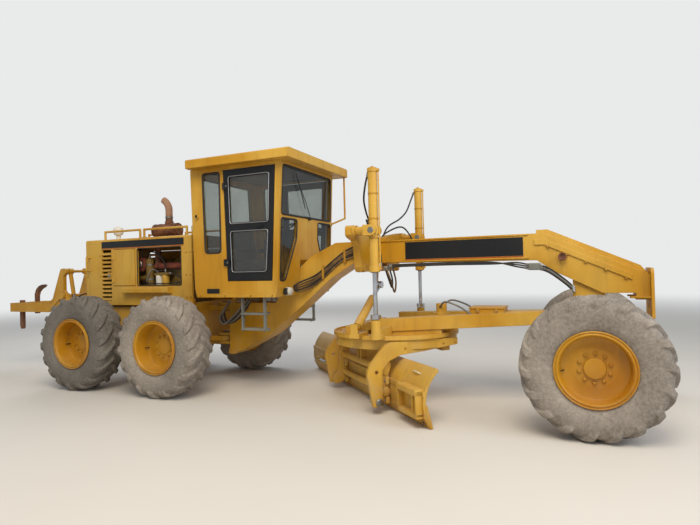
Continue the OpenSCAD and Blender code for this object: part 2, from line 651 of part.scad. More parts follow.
// Pane outlines, columns across, height
WINDSHIELD = [
    [-700, cab_top - 670], [700, cab_top - 670], [690, cab_top - 62], [672, cab_top - 45], [-672, cab_top - 45],
    [-690, cab_top - 62]
];
LOW_PANE = [
    [322, cab_top - 720], [688, cab_top - 720], [700, cab_top - 732], [700, 1520], [680, 1500], [586, 1500],
    [566, 1512], [304, cab_top - 960], [300, cab_top - 948], [300, cab_top - 742]
];
REAR_PANE = [[-620, cab_top - 1110], [620, cab_top - 1110], [600, cab_top - 90], [-600, cab_top - 90]];
pane_t = 6;
// A pane stays this share of its size clear of its frame
pane_ease = 0.003;
function eased(o, c) = [for (p = o) p + (c - p)*pane_ease];

module cab_shell() in_part_frame() color(yellow) {
    difference() {
        side_plate(CAB, 0, 2*cab_half);
        difference() {
            side_plate(CAB_INSIDE, 0, 2*cab_half - 2*cab_wall);
            side_plate(TUNNEL_COVER, 0, 2*tunnel_half + 40);
        }
        side_plate(TUNNEL, 0, 2*tunnel_half);
        side_plate(DOOR, 0, 2*cab_half + 2);
        side_plate(REAR_SIDE, 0, 2*cab_half + 2);
        cross_plate(WINDSHIELD, 2260, 300);
        cross_plate(LOW_PANE, 2260, 300);
        mirror([0, 1, 0]) cross_plate(LOW_PANE, 2260, 300);
        cross_plate(REAR_PANE, 1000, 150);
    }
    // Posts that stand on the front frame under the cab
    both_boxes([1500, 120, 1180], [1560, 170, cab_bottom]);
    both_boxes([1230, 120, 1180], [1290, 170, cab_bottom]);
    // Catches that hold the opened doors
    both_boxes([1110, cab_half, cab_top - 660], [1150, cab_half + 30, cab_top - 600]);
    // Rails along the cab's lower edge on both sides
    both_boxes([1100, cab_half - 1, cab_bottom], [2326, cab_half + 8, cab_bottom + 46]);
}

module cab_roof() in_part_frame() color(yellow) {
    difference() {
        cross_plate(arch(roof_half, cab_top, cab_top + roof_t, 26), 1050, 1575);
        box([1110, -cab_half + 60, cab_top - 1], [2380, cab_half - 60, cab_top + 60]);
    }
    // Grab rail that hangs from the roof's front left corner
    bent_bar([[2580, roof_half - 26, cab_top + 20], [2580, roof_half - 26, cab_top - 620],
              [2374, cab_half + 20, cab_top - 710]], 28);
    box([2352, cab_half, cab_top - 732], [2396, cab_half + 40, cab_top - 688]);
}

module cab_glass() in_part_frame() color(glass, 0.4) {
    for (s = SIDES) side_plate(eased(REAR_SIDE, [1360, cab_top - 600]), s*(cab_half - 20), pane_t);
    cross_plate(eased(REAR_PANE, [0, cab_top - 600]), 1078, pane_t);
    // Front panes lie in the middle of the leaning wall
    translate([front_sill - 18, 0, sill_z]) rotate([0, front_lean, 0]) translate([-pane_t/2, 0, -sill_z]) {
        cross_plate(eased(WINDSHIELD, [0, cab_top + 200]), 0, pane_t);
        for (m = [0, 1]) mirror([0, m, 0]) cross_plate(eased(LOW_PANE, [500, cab_top - 1000]), 0, pane_t);
    }
}

hinge_x = 1576;
hinge_out = 24;
door_t = 34;
module cab_door(side) in_part_frame() {
    y = side*(cab_half - door_t/2 + 2);
    color(black) difference() {
        side_plate(DOOR_LEAF, y, door_t);
        side_plate(DOOR_LOW, side*(cab_half + 20), 60);
        side_plate(DOOR_HIGH, side*(cab_half + 20), 60);
        side_plate(DOOR_LOW, side*(cab_half - 60), 70);
        side_plate(DOOR_HIGH, side*(cab_half - 60), 70);
    }
    color(black) for (z = [1700, cab_top - 310]) {
        z_cyl(hinge_x, side*(cab_half + hinge_out), z, z + 90, 26, bar_fn);
        both_boxes_one(side, [hinge_x, cab_half + 0.5, z], [hinge_x + 70, cab_half + hinge_out, z + 90]);
    }
    // Handle on the middle rail
    color(black) {
        both_boxes_one(side, [2140, cab_half + 1, cab_top - 830], [2160, cab_half + 34, cab_top - 800]);
        both_boxes_one(side, [2060, cab_half + 22, cab_top - 826], [2160, cab_half + 34, cab_top - 804]);
    }
}

// Box on one side of the centre plane, y measured outward
module both_boxes_one(s, p, q)
    box([p.x, min(s*p.y, s*q.y), p.z], [q.x, max(s*p.y, s*q.y), q.z]);

module cab_door_right() cab_door(RIGHT);
module cab_door_left() cab_door(LEFT);

module seat() in_part_frame() color("#3A3A3C") {
    z_cyl(1560, 0, cab_bottom + 60, 1540, 200);
    box([1400, -200, 1540], [1740, 200, 1600]);
    box([1330, -260, 1600], [1800, 260, 1720]);
    side_plate([[1330, 1720], [1440, 1720], [1352, 2300], [1310, 2330], [1250, 2320], [1232, 2280]], 0, 480);
    // Armrests
    for (s = SIDES) {
        box([1400, min(s*262, s*330), 1900], [1720, max(s*262, s*330), 1950]);
        box([1330, min(s*230, s*300), 1880], [1410, max(s*230, s*300), 1950]);
    }
}

module controls() in_part_frame() color(black) {
    // Console on the tunnel's cover
    side_plate([[2060, cover_z(2060)], [2160, cover_z(2160)], [2240, cover_z(2240)], [2250, 1790], [2100, 2200],
                [2030, 2165]], 0, 170);
    translate([2050, 0, 2190]) rotate([0, -25, 0]) {
        rotate_extrude($fn = round_fn) translate([182, 0]) circle(d = 32, $fn = bar_fn);
        z_cyl(0, 0, -60, 10, 70);
        for (a = [0, 120, 240]) rotate([0, 0, a]) box([20, -14, -7], [175, 14, 7]);
    }
    // Lever banks on both sides
    for (s = SIDES) {
        box([1900, min(s*260, s*330), cab_bottom + 60], [2100, max(s*260, s*330), 2050]);
        for (i = [0:3]) {
            bar([1930 + 46*i, s*295, 2040], [1950 + 46*i, s*295, 2150], 12, 16);
            translate([1950 + 46*i, s*295, 2150]) sphere(d = 34, $fn = 16);
        }
    }
}
// Height of the tunnel cover's top at a forward place between its corners
function cover_z(x) = x < 2160 ? 1330 + (x - 1960)*295/200 : 1625 + (x - 2160)*280/310;

module steps() in_part_frame() color("#8A8D86") for (s = SIDES) {
    for (x = [1760, 2100]) both_boxes_one(s, [x, 640, 850], [x + 20, 690, cab_bottom]);
    for (z = [860, 1060]) both_boxes_one(s, [1760, 560, z], [2120, 700, z + 24]);
    for (x = [1760, 2100]) both_boxes_one(s, [x, 560, 850], [x + 20, 641, 885]);
}

// Front axle and steering
lean_y = 640;
lean_z = 540;
king_y = 780;
lean_bar_z = 900;
lean_pin_x = wheelbase + 92;
lean_boss_t = 46;
lean_bow = 90;
AXLE = [
    [-680, 490], [-540, 490], [-260, 640], [260, 640], [540, 490], [680, 490], [680, 590], [560, 650],
    [200, 930], [-200, 930], [-560, 650], [-680, 590]
];

module front_axle() in_part_frame() color(yellow) difference() {
    union() {
        cross_plate(AXLE, wheelbase - 85, 170);
        x_cyl(bolster_rear + 22, bolster_front, 0, axle_pin_z, 110);
    }
    for (s = SIDES) {
        x_cyl(wheelbase - 100, wheelbase + 100, s*lean_y, lean_z, 60 + 2*pin_gap);
        both_boxes_one(s, [wheelbase - 46, 540, 480], [wheelbase + 46, 700, 680]);
    }
}

// Knuckle: hangs in the axle's fork on the lean pin and carries the kingpin
module lean_knuckle(s) in_part_frame() color(yellow) {
    x_cyl(wheelbase - 84, wheelbase + 84, s*lean_y, lean_z, 60);
    mirror([0, s > 0 ? 0 : 1, 0]) {
        cross_plate([[600, 505], [720, 505], [760, 560], [760, 780], [708, 828], [700, 870], [690, 930], [675, 945],
                     [615, 945], [600, 930]], wheelbase - 38, 76);
        z_cyl(wheelbase, king_y, 505, 835, 110);
    }
    x_cyl(wheelbase + 37, lean_pin_x + lean_boss_t, s*lean_y, lean_bar_z, 44);
}

arm_back = 200;
arm_z = 425;
module spindle(s) in_part_frame() color(yellow) {
    mirror([0, s > 0 ? 0 : 1, 0]) {
        for (z = [[450, 504.5], [835.5, 890]]) {
            z_cyl(wheelbase, king_y, z[0], z[1], 120);
            box([wheelbase - 60, king_y, z[0]], [wheelbase + 60, 880, z[1]]);
        }
        box([wheelbase - 60, 850, 450], [wheelbase + 60, 885, 890]);
        y_cyl(wheelbase, tyre_r, 885, track_half + front_face - hub_wall, stub_d);
        y_cyl(wheelbase, tyre_r, 870, 830 + 60, 200);
        // Steering arm
        box([wheelbase - arm_back - 30, king_y - 30, arm_z - 20], [wheelbase - 20, king_y + 30, arm_z + 20]);
        z_cyl(wheelbase, king_y, arm_z - 20, 460, 100);
    }
}

module lean_knuckle_right() lean_knuckle(RIGHT);
module lean_knuckle_left() lean_knuckle(LEFT);
module spindle_right() spindle(RIGHT);
module spindle_left() spindle(LEFT);

module lean_bar() in_part_frame() color(yellow) difference() {
    union() {
        // Bar bowed forward past the bolster
        bent_bar([for (k = LEAN_BOW) [lean_pin_x + lean_boss_t/2 + k[1], k[0], lean_bar_z]], 40);
        for (s = SIDES) x_cyl(lean_pin_x, lean_pin_x + lean_boss_t, s*lean_y, lean_bar_z, 84);
    }
    for (s = SIDES) x_cyl(lean_pin_x - 1, lean_pin_x + lean_boss_t + 1, s*lean_y, lean_bar_z, 44 + 2*pin_gap);
}
// Bar's line, columns across, forward
LEAN_BOW = [[36 - lean_y, 0], [-400, lean_bow], [400, lean_bow], [lean_y - 36, 0]];

// Ball stud that joins the left steering arm to the tie rod
module tie_stud() in_part_frame() color(steel) {
    z_cyl(wheelbase - arm_back, king_y, arm_z - 52, arm_z - 20.5, 32, bar_fn);
    translate([wheelbase - arm_back, king_y, arm_z - 52]) sphere(d = 52, $fn = bar_fn);
}

module tie_rod() in_part_frame() color(yellow) {
    difference() {
        union() {
            bar([wheelbase - arm_back, -king_y, arm_z - 52], [wheelbase - arm_back, king_y - 34, arm_z - 52], 32);
            z_cyl(wheelbase - arm_back, king_y, arm_z - 70, arm_z - 34, 76);
        }
        z_cyl(wheelbase - arm_back, king_y, arm_z - 71, arm_z - 33, 53);
    }
    z_cyl(wheelbase - arm_back, -king_y, arm_z - 70, arm_z - 34, 58);
}

// Drawbar: an A frame from the ball to the circle's cover plate
drawbar_t = 150;
cover_z0 = 800;
cover_z1 = 828;
neck_x = ball_x - 340;
fork_x = ball_x - 560;
arm_end_x = 3540;
// Distances from the centre plane to the arms' outer and inner edges at a forward place
function arm_outer(x) = 170 + (neck_x - x)*480/2040;
function arm_inner(x) = (fork_x - x)*520/1820;
DRAWBAR = [
    [ball_x - 90, -70], [ball_x - 90, 70], [neck_x, 170], [arm_end_x, arm_outer(arm_end_x)],
    [arm_end_x, arm_inner(arm_end_x)], [fork_x, 0], [arm_end_x, -arm_inner(arm_end_x)],
    [arm_end_x, -arm_outer(arm_end_x)], [neck_x, -170]
];
// Place of the circle drive, inside the circle's teeth
drive_x = circle_x + 604;
plate_r = circle_r + 25;
post_x = 3440;
post_y = 790;
post_z = 950;

module drawbar() in_part_frame() color(yellow) {
    translate([ball_x, 0, ball_z]) rotate([0, -2.4, 0]) translate([-ball_x, 0, -drawbar_t/2])
        linear_extrude(drawbar_t) polygon(DRAWBAR);
    translate([ball_x, 0, ball_z]) sphere(d = ball_d, $fn = round_fn);
    x_cyl(ball_x - 110, ball_x, 0, ball_z, 62);
    difference() {
        union() {
            z_cyl(circle_x, 0, cover_z0, cover_z1, 2*plate_r, wheel_fn);
            // Raised rim round the plate
            difference() {
                z_cyl(circle_x, 0, cover_z1 - 1, cover_z1 + 22, 2*plate_r - 4, wheel_fn);
                z_cyl(circle_x, 0, cover_z1 - 2, cover_z1 + 23, 2*plate_r - 52, wheel_fn);
            }
        }
        z_cyl(circle_x, 0, cover_z0 - 1, cover_z1 + 1, 1000, wheel_fn);
    }
    // Webs that carry the arms on the plate
    for (m = [0, 1]) mirror([0, m, 0]) translate([0, 0, cover_z1 - 2]) linear_extrude(78) polygon(
        [[arm_end_x, arm_outer(arm_end_x) - 14], [4330, arm_outer(4330) - 14], [4330, arm_inner(4330) + 14],
         [arm_end_x, arm_inner(arm_end_x) + 14]]);
    // Rear crossbeam, stub arms and pads under the lift rods
    box([3190, -560, cover_z1 - 2], [3314, 560, 930]);
    for (s = SIDES) {
        both_boxes_one(s, [lift_x - 60, 540, cover_z1 - 2], [lift_x + 60, 880, 940]);
        z_cyl(lift_x, s*lift_y, cover_z1, pad_top, 110);
        z_cyl(lift_x, s*lift_y, cover_z1, cover_z1 + 60, 132);
    }
    // Bracket that carries the centre shift cylinder
    both_boxes_one(RIGHT, [post_x - 60, 600, cover_z1 - 2], [post_x + 60, 880, 880]);
    both_boxes_one(RIGHT, [post_x - 45, 856, 870], [post_x + 45, 880, post_z + 40]);
    y_cyl(post_x, post_z, -860, -post_y, 36);
    translate([post_x, -post_y, post_z]) sphere(d = 76, $fn = round_fn);
    // Circle drive: gear case, motor and the pinion under the plate
    box([drive_x - 20, -arm_inner(drive_x + 60), cover_z1 - 2], [drive_x + 60, arm_inner(drive_x + 60), 900]);
    z_cyl(drive_x, 0, cover_z0, 1010, 230);
    z_cyl(drive_x, 0, 1009, 1060, 190);
    z_cyl(drive_x, 0, 1059, 1170, 130);
    z_cyl(drive_x, 0, 704, cover_z0 + 1, 138, 24);
    // Tool box with its lid and two catches
    box([4620, -170, 930], [5010, 170, 1122]);
    box([4612, -178, 1120], [5018, 178, 1136]);
    for (x = [4700, 4910]) box([x, -182, 1070], [x + 30, -168, 1128]);
}

// Circle frame: t forward along the circle, q to the left, both from its centre
module on_circle() translate([circle_x, 0, 0]) rotate([0, 0, circle_turn]) children();

ring_z0 = 690;
ring_z1 = cover_z0 - 0.5;
arm_q = 720;
arm_t = 50;
pivot_t = -585;
pivot_z = 135;
CIRCLE_ARM = [
    [440, 710], [440, 785], [-420, 788], [-500, 758], [-565, 690], [-620, 628], [-680, 560], [-715, 485],
    [-720, 430], [-655, 90], [-540, 90], [-540, 490], [-450, 585], [-310, 640], [0, 662]
];
cross_t = 340;
tip_pin_z = 580;

module circle_ring() in_part_frame() on_circle() color(yellow) {
    difference() {
        z_cyl(0, 0, ring_z0, ring_z1, 2*circle_r, wheel_fn);
        translate([0, 0, ring_z0 - 1]) linear_extrude(ring_z1 - ring_z0 + 2) polygon(TEETH);
    }
    difference() {
        for (s = SIDES) side_plate(CIRCLE_ARM, s*arm_q, arm_t);
        y_cyl(pivot_t, pivot_z, -800, 800, 50 + 2*pin_gap);
        // Holes through the arms' elbows
        y_cyl(-610, 470, -800, 800, 46);
    }
    // Cross member under the ring that carries the tip cylinder
    box([cross_t - 50, -650, 630], [cross_t + 50, 650, ring_z0 + 2]);
    for (q = [-66, 44]) side_plate([[cross_t - 42, 552], [cross_t - 30, 540], [cross_t + 30, 540], [cross_t + 42, 552],
                                    [cross_t + 42, 632], [cross_t - 42, 632]], q + 11, 22);
    y_cyl(cross_t, tip_pin_z, -70, 70, 30);
}

// Teeth inside the circle: four corners for each tooth, root to tip
tooth_count = 60;
tooth_root = circle_r - 60;
tooth_h = 26;
function on_ring(r, a) = [r*cos(a), r*sin(a)];
TEETH = [
    for (i = [0:tooth_count - 1]) for (k = [[0, 0], [0.32, 0], [0.5, tooth_h], [0.82, tooth_h]])
        on_ring(tooth_root - k[1], (i + k[0])*360/tooth_count)
];

// Tilt bracket: swings on the arms' lower pins, carries the moldboard's rails
BRACKET = [
    [-615, 90], [-560, 90], [-430, 150], [-430, 420], [-402, 500], [-404, 545], [-432, 585], [-495, 588],
    [-516, 560], [-520, 480], [-560, 250], [-630, 190], [-638, 120]
];
eye_t = -480;
eye_z = 680;

module tilt_bracket() in_part_frame() on_circle() color(yellow) {
    difference() {
        for (s = SIDES) side_plate(BRACKET, s*640, 60);
        y_cyl(shift_t, shift_z, -700, 700, shift_d + 0.1);
    }
    for (s = SIDES) y_cyl(pivot_t, pivot_z, s*610, s*(arm_q + 25), 50);
    y_cyl(-480, 480, -610, 610, 90);
    for (q = [-66, 44]) side_plate([[-520, 470], [-440, 470], [-442, 695], [-458, 715], [-502, 715], [-518, 695]],
                                   q + 11, 22);
    for (s = SIDES) y_cyl(eye_t, eye_z, s*44, s*82, 56);
}

// Moldboard: an arc in section, swept along its length
blade_t0 = 11;
blade_z0 = 251;
blade_near = -blade_len/2 + blade_shift;
module moldboard() in_part_frame() on_circle() color(yellow) {
    translate([0, blade_near + blade_len, 0]) rotate([90, 0, 0]) linear_extrude(blade_len) {
        intersection() {
            translate([blade_t0, blade_z0]) difference() {
                circle(r = blade_r + blade_t, $fn = wheel_fn);
                circle(r = blade_r, $fn = wheel_fn);
            }
            polygon([[blade_t0, blade_z0], [-700, -240], [-700, 600], [-250, 600]]);
        }
        // Cutting edge
        polygon([[-345, 8], [-325, 8], [-365, 160], [-390, 160]]);
        // Rails behind
        translate([-424, 330]) square([30, 50]);
        translate([-410, 110]) square([34, 50]);
    }
    // End bits at both lower corners
    for (q = [blade_near - 4, blade_near + blade_len - 146]) translate([0, q + 150, 0]) rotate([90, 0, 0])
        linear_extrude(150) polygon([[-343, 6], [-318, 6], [-352, 150], [-378, 240], [-398, 236], [-392, 150]]);
    // Lug that holds the side shift cylinder's rod
    box([shift_t - 28, shift_end, shift_z - 34], [-412, shift_end + 34, shift_z + 34]);
}

// Side shift cylinder behind the moldboard, along q: held by the tilt bracket's plates
shift_t = -476;
shift_z = 235;
shift_d = 76;
shift_end = 1740;
module shift_barrel() in_part_frame() on_circle() color(yellow) difference() {
    y_cyl(shift_t, shift_z, -684, 684, shift_d);
    y_cyl(shift_t, shift_z, -650, 650, 56);
    y_cyl(shift_t, shift_z, 649, 685, 37);
}
module shift_rod() in_part_frame() on_circle() color(chrome) {
    y_cyl(shift_t, shift_z, 480, shift_end, 36);
    y_cyl(shift_t, shift_z, 470, 500, 54);
}

// Tip cylinder between the circle's cross member and the tilt bracket
tip_from = [cross_t, 0, tip_pin_z];
tip_barrel_end = 474;
tip_rod_start = 386;
tip_to = [eye_t, 0, eye_z];
tip_v = (tip_to - tip_from)/norm(tip_to - tip_from);
module tip_barrel() in_part_frame() on_circle() color(yellow) difference() {
    union() {
        bar(tip_from + 20*tip_v, tip_from + tip_barrel_end*tip_v, 76);
        y_cyl(tip_from.x, tip_from.z, -40, 40, 70);
    }
    y_cyl(tip_from.x, tip_from.z, -41, 41, 30 + 2*pin_gap);
    bar(tip_from + 50*tip_v, tip_from + (tip_barrel_end + 1)*tip_v, 56);
}
module tip_rod() in_part_frame() on_circle() color(chrome) {
    bar(tip_from + tip_rod_start*tip_v, tip_to - 20*tip_v, 36);
    y_cyl(tip_to.x, tip_to.z, -40, 40, 66);
}

// Centre shift cylinder from the drawbar's right side up to the link bar
shift_from = [post_x, -post_y, post_z];
shift_to = [post_x, 0, 1410];
shift_v = (shift_to - shift_from)/norm(shift_to - shift_from);
module centre_barrel() in_part_frame() color(yellow) difference() {
    bar(shift_from + 6*shift_v, shift_from + 600*shift_v, 100);
    translate(shift_from) sphere(d = 76 + 2*pin_gap, $fn = round_fn);
    bar(shift_from + 48*shift_v, shift_from + 601*shift_v, 80);
}
module centre_rod() in_part_frame() color(chrome) {
    bar(shift_from + 306*shift_v, shift_to - 20*shift_v, 50);
    // The eye's back is a ball that rests on the link bar's lug
    translate(shift_to) sphere(r = post_x - lug_x - lug_plate_t - seat_gap, $fn = round_fn);
    x_cyl(post_x - 20, post_x + 36, shift_to.y, shift_to.z, 92);
}

rear_frame();
rear_axle();
tandem_cases();
engine();
hood();
exhaust();
air_intake();
handrails();
engine_door_right();
engine_door_left();
ripper_mount();
ripper_frame();
ripper_shanks();
ripper_barrel();
ripper_rod();
wheel_rear_right();
wheel_rear_left();
wheel_middle_right();
wheel_middle_left();
front_frame();
lift_arms();
lift_barrel_right();
lift_barrel_left();
lift_rod_right();
lift_rod_left();
cab_shell();
cab_roof();
cab_glass();
cab_door_right();
cab_door_left();
seat();
controls();
steps();
front_axle();
lean_knuckle_right();
lean_knuckle_left();
spindle_right();
spindle_left();
lean_bar();
tie_stud();
tie_rod();
wheel_front_right();
wheel_front_left();
drawbar();
circle_ring();
tilt_bracket();
moldboard();
shift_barrel();
shift_rod();
tip_barrel();
tip_rod();
centre_barrel();
centre_rod();
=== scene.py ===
"""Looks of an articulated motor grader: paint, tyres, glass, engine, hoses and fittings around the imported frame.

All places are metres in the part's own frame: X forward, Y to the machine's left, Z up, wheels on Z = 0.
"""

from __future__ import annotations

import json
import logging
import math
from dataclasses import dataclass, field
from enum import Enum
from typing import Any, Iterable, Sequence

import bmesh
import bpy
import numpy as np
from mathutils import Matrix

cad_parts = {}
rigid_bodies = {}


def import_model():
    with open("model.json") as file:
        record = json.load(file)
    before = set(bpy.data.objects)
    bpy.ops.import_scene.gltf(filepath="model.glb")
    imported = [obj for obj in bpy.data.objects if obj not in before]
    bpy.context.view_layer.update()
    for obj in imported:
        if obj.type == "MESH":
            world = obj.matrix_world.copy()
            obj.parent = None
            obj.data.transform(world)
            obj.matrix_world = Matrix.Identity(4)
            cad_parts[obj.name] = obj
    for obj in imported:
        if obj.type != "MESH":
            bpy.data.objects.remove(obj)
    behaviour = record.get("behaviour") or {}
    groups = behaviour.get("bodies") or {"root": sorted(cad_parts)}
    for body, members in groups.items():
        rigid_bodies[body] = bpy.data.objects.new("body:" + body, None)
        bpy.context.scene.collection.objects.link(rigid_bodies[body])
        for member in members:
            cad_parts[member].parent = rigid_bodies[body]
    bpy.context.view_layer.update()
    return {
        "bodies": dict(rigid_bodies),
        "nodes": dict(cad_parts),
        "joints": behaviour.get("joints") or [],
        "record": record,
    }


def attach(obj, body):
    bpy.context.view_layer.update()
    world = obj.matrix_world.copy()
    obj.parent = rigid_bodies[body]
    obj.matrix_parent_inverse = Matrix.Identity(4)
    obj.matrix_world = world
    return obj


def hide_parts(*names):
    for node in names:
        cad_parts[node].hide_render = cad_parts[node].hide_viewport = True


LOG = logging.getLogger("grader")
Array = np.ndarray
Point = tuple[float, float, float]

# The machine's own origin, below the tandem pivot, seen from the part's origin
ORIGIN_X = 1.574
ORIGIN_Y = 0.042516

# Sizes that several classes share; places are from the tandem pivot, and points nearer than MERGE become one
SIDES = (-1.0, 1.0)
SIDE_WORDS = ("right", "left")
CIRCLE_X = 3.640
TANDEM_REACH = 0.762
WHEEL_RADIUS = 0.665
HOSE_RADIUS = 0.011
MERGE = 2e-5


def at(x: float, y: float, z: float) -> Point:
    """Turns a place measured from the tandem pivot (metres) into the part's frame."""
    return (x - ORIGIN_X, y - ORIGIN_Y, z)


def ats(points: Iterable[Sequence[float]]) -> list[Point]:
    """Turns several places measured from the tandem pivot into the part's frame."""
    return [at(*p) for p in points]


# Surfaces: grids, tubes, turned pieces, blocks and plates


def grid_faces(rows: int, columns: int, close_rows: bool, close_columns: bool) -> Array:
    """Numbers the quads of a grid of points.

    Args:
        rows: points along the first parameter.
        columns: points along the second parameter.
        close_rows: joins the last row to the first.
        close_columns: joins the last column to the first.

    Returns:
        Corner numbers, four to a row.
    """
    i = np.arange(rows if close_rows else rows - 1)
    j = np.arange(columns if close_columns else columns - 1)
    ii, jj = np.meshgrid(i, j, indexing="ij")
    i2, j2 = (ii + 1) % rows, (jj + 1) % columns
    return np.stack([ii * columns + jj, i2 * columns + jj, i2 * columns + j2, ii * columns + j2], -1).reshape(-1, 4)


def link_new(name: str, data: Any) -> bpy.types.Object:
    """Makes an object of a mesh, camera or lamp and links it to the scene."""
    item = bpy.data.objects.new(name, data)
    bpy.context.scene.collection.objects.link(item)
    return item


def add_mesh(name: str, points: Array, faces: Array | list, smooth: bool = True) -> bpy.types.Object:
    """Puts points and faces into a new object at the origin.

    Args:
        name: the object's name.
        points: places, one to a row.
        faces: corner numbers, three or four to a row, or lists of any length.
        smooth: shades the faces smoothly.

    Returns:
        The new object, linked to the scene.
    """
    mesh = bpy.data.meshes.new(name)
    mesh.from_pydata(np.asarray(points, float).reshape(-1, 3).tolist(), [], [list(map(int, f)) for f in faces])
    mesh.polygons.foreach_set("use_smooth", np.full(len(mesh.polygons), smooth))
    mesh.update()
    return link_new(name, mesh)


def tidy_normals(item: bpy.types.Object, distance: float = 1e-5) -> bpy.types.Object:
    """Merges doubled points and turns the faces outwards."""
    data = bmesh.new()
    data.from_mesh(item.data)
    bmesh.ops.remove_doubles(data, verts=data.verts, dist=distance)
    bmesh.ops.recalc_face_normals(data, faces=data.faces)
    data.to_mesh(item.data)
    data.free()
    return item


def sharp_by_angle(item: bpy.types.Object, degrees: float = 35.0) -> bpy.types.Object:
    """Keeps edges crisp where two faces meet at more than the angle."""
    item.data.set_sharp_from_angle(angle=math.radians(degrees))
    return item


def smooth_path(points: Sequence[Sequence[float]], steps: int) -> Array:
    """Runs a Catmull-Rom curve through points: each span is a cubic whose end slopes are half its neighbours' chord.

    Args:
        points: places that the curve passes.
        steps: points made for each span.

    Returns:
        The curve's points, one to a row.
    """
    p = np.asarray(points, float)
    if len(p) < 3:
        t = np.linspace(0, 1, steps + 1)[:, None]
        return p[0] + (p[-1] - p[0]) * t
    ext = np.vstack([2 * p[0] - p[1], p, 2 * p[-1] - p[-2]])
    t = np.linspace(0, 1, steps, endpoint=False)[:, None, None]
    a, b, c, d = ext[:-3], ext[1:-2], ext[2:-1], ext[3:]
    curve = 0.5 * (2 * b + (c - a) * t + (2 * a - 5 * b + 4 * c - d) * t**2 + (3 * b - a - 3 * c + d) * t**3)
    return np.vstack([curve.transpose(1, 0, 2).reshape(-1, 3), p[-1]])


def frames_along(path: Array) -> tuple[Array, Array]:
    """Finds two directions across a path at each point, carried along it without twist.

    Args:
        path: the path's points.

    Returns:
        The first and the second direction at each point, both square to the path.
    """
    tangent = np.gradient(path, axis=0)
    tangent /= np.linalg.norm(tangent, axis=1, keepdims=True)
    start = np.array([0.0, 0.0, 1.0]) if abs(tangent[0, 2]) < 0.9 else np.array([1.0, 0.0, 0.0])
    first = np.empty_like(path)
    side = start - tangent[0] * (start @ tangent[0])
    for k, t in enumerate(tangent):
        side = side - t * (side @ t)
        side /= np.linalg.norm(side)
        first[k] = side
    return first, np.cross(tangent, first)


def tube(name: str, path: Array, radius: float | Array, sides: int = 14) -> bpy.types.Object:
    """Sweeps a circle along a path: place = path + r(cos a x first + sin a x second), with both ends closed.

    Args:
        name: the object's name.
        path: points along the middle.
        radius: one radius, or one for each point.
        sides: points around the circle.

    Returns:
        The tube.
    """
    first, second = frames_along(path)
    r = np.broadcast_to(np.asarray(radius, float), (len(path),))[:, None, None]
    a = np.linspace(0, 2 * math.pi, sides, endpoint=False)[None, :, None]
    ring = path[:, None] + r * (np.cos(a) * first[:, None] + np.sin(a) * second[:, None])
    faces = grid_faces(len(path), sides, False, True).tolist()
    faces.append(list(range(sides))[::-1])
    faces.append([(len(path) - 1) * sides + k for k in range(sides)])
    return sharp_by_angle(tidy_normals(add_mesh(name, ring, faces)), 50)


def revolve(name: str, section: Sequence[tuple[float, float]], centre: Point, axis: str, segments: int = 48,
            direction: float = 1.0) -> bpy.types.Object:
    """Turns a section round an axis: place = centre + along x axis + r(cos a, sin a) across it.

    Args:
        name: the object's name.
        section: radius and place along the axis, in order.
        centre: the place of the section's zero.
        axis: "x", "y" or "z".
        segments: points around.
        direction: 1 or -1 along the axis.

    Returns:
        The turned piece.
    """
    s = np.asarray(section, float)
    a = np.linspace(0, 2 * math.pi, segments, endpoint=False)
    r, h = s[:, 0][:, None], s[:, 1][:, None] * direction
    c, n = r * np.cos(a), r * np.sin(a)
    h = np.broadcast_to(h, c.shape)
    order = {"x": (h, c, n), "y": (c, h, n), "z": (c, n, h)}[axis]
    points = np.stack(order, -1) + np.asarray(centre)
    piece = add_mesh(name, points, grid_faces(len(s), segments, False, True))
    return sharp_by_angle(tidy_normals(piece), 32)


def cube_grid(line: Array, level: float) -> tuple[Array, Array]:
    """Lays a grid on the six faces of a cube.

    Args:
        line: places along both edges of each face.
        level: how far each face lies from the middle.

    Returns:
        Points, one to a row, and the quads' corner numbers.
    """
    u, v = np.meshgrid(line, line, indexing="ij")
    points = [np.roll(np.stack([np.full_like(u, sign * level), u, v], -1), k, -1).reshape(-1, 3)
              for k in range(3) for sign in SIDES]
    quads = grid_faces(len(line), len(line), False, False)
    return np.vstack(points), np.vstack([quads + k * u.size for k in range(len(points))])


def rounded_block(name: str, low: Sequence[float], high: Sequence[float], radius: float,
                  steps: int = 4) -> bpy.types.Object:
    """Makes a block with rounded edges: each point of a cube's grid is drawn in by the radius, then pushed out
    by the radius along its direction from the drawn-in point.

    Args:
        name: the object's name.
        low: lowest corner.
        high: highest corner.
        radius: the edges' radius.
        steps: points across each rounded edge.

    Returns:
        The block.
    """
    lo, hi = np.asarray(low, float), np.asarray(high, float)
    half, mid = (hi - lo) / 2, (hi + lo) / 2
    radius = min(radius, float(half.min()) * 0.98)
    rim = np.tan(np.linspace(0, math.pi / 4, steps + 1))[1:]
    p, faces = cube_grid(np.concatenate([-1 - rim[::-1], [-1.0], [1.0], 1 + rim]), 2.0)
    core = np.clip(p, -1, 1)
    push = p - core
    push /= np.linalg.norm(push, axis=-1, keepdims=True)
    item = add_mesh(name, core * (half - radius) + push * radius + mid, faces)
    return sharp_by_angle(tidy_normals(item, MERGE), 40)


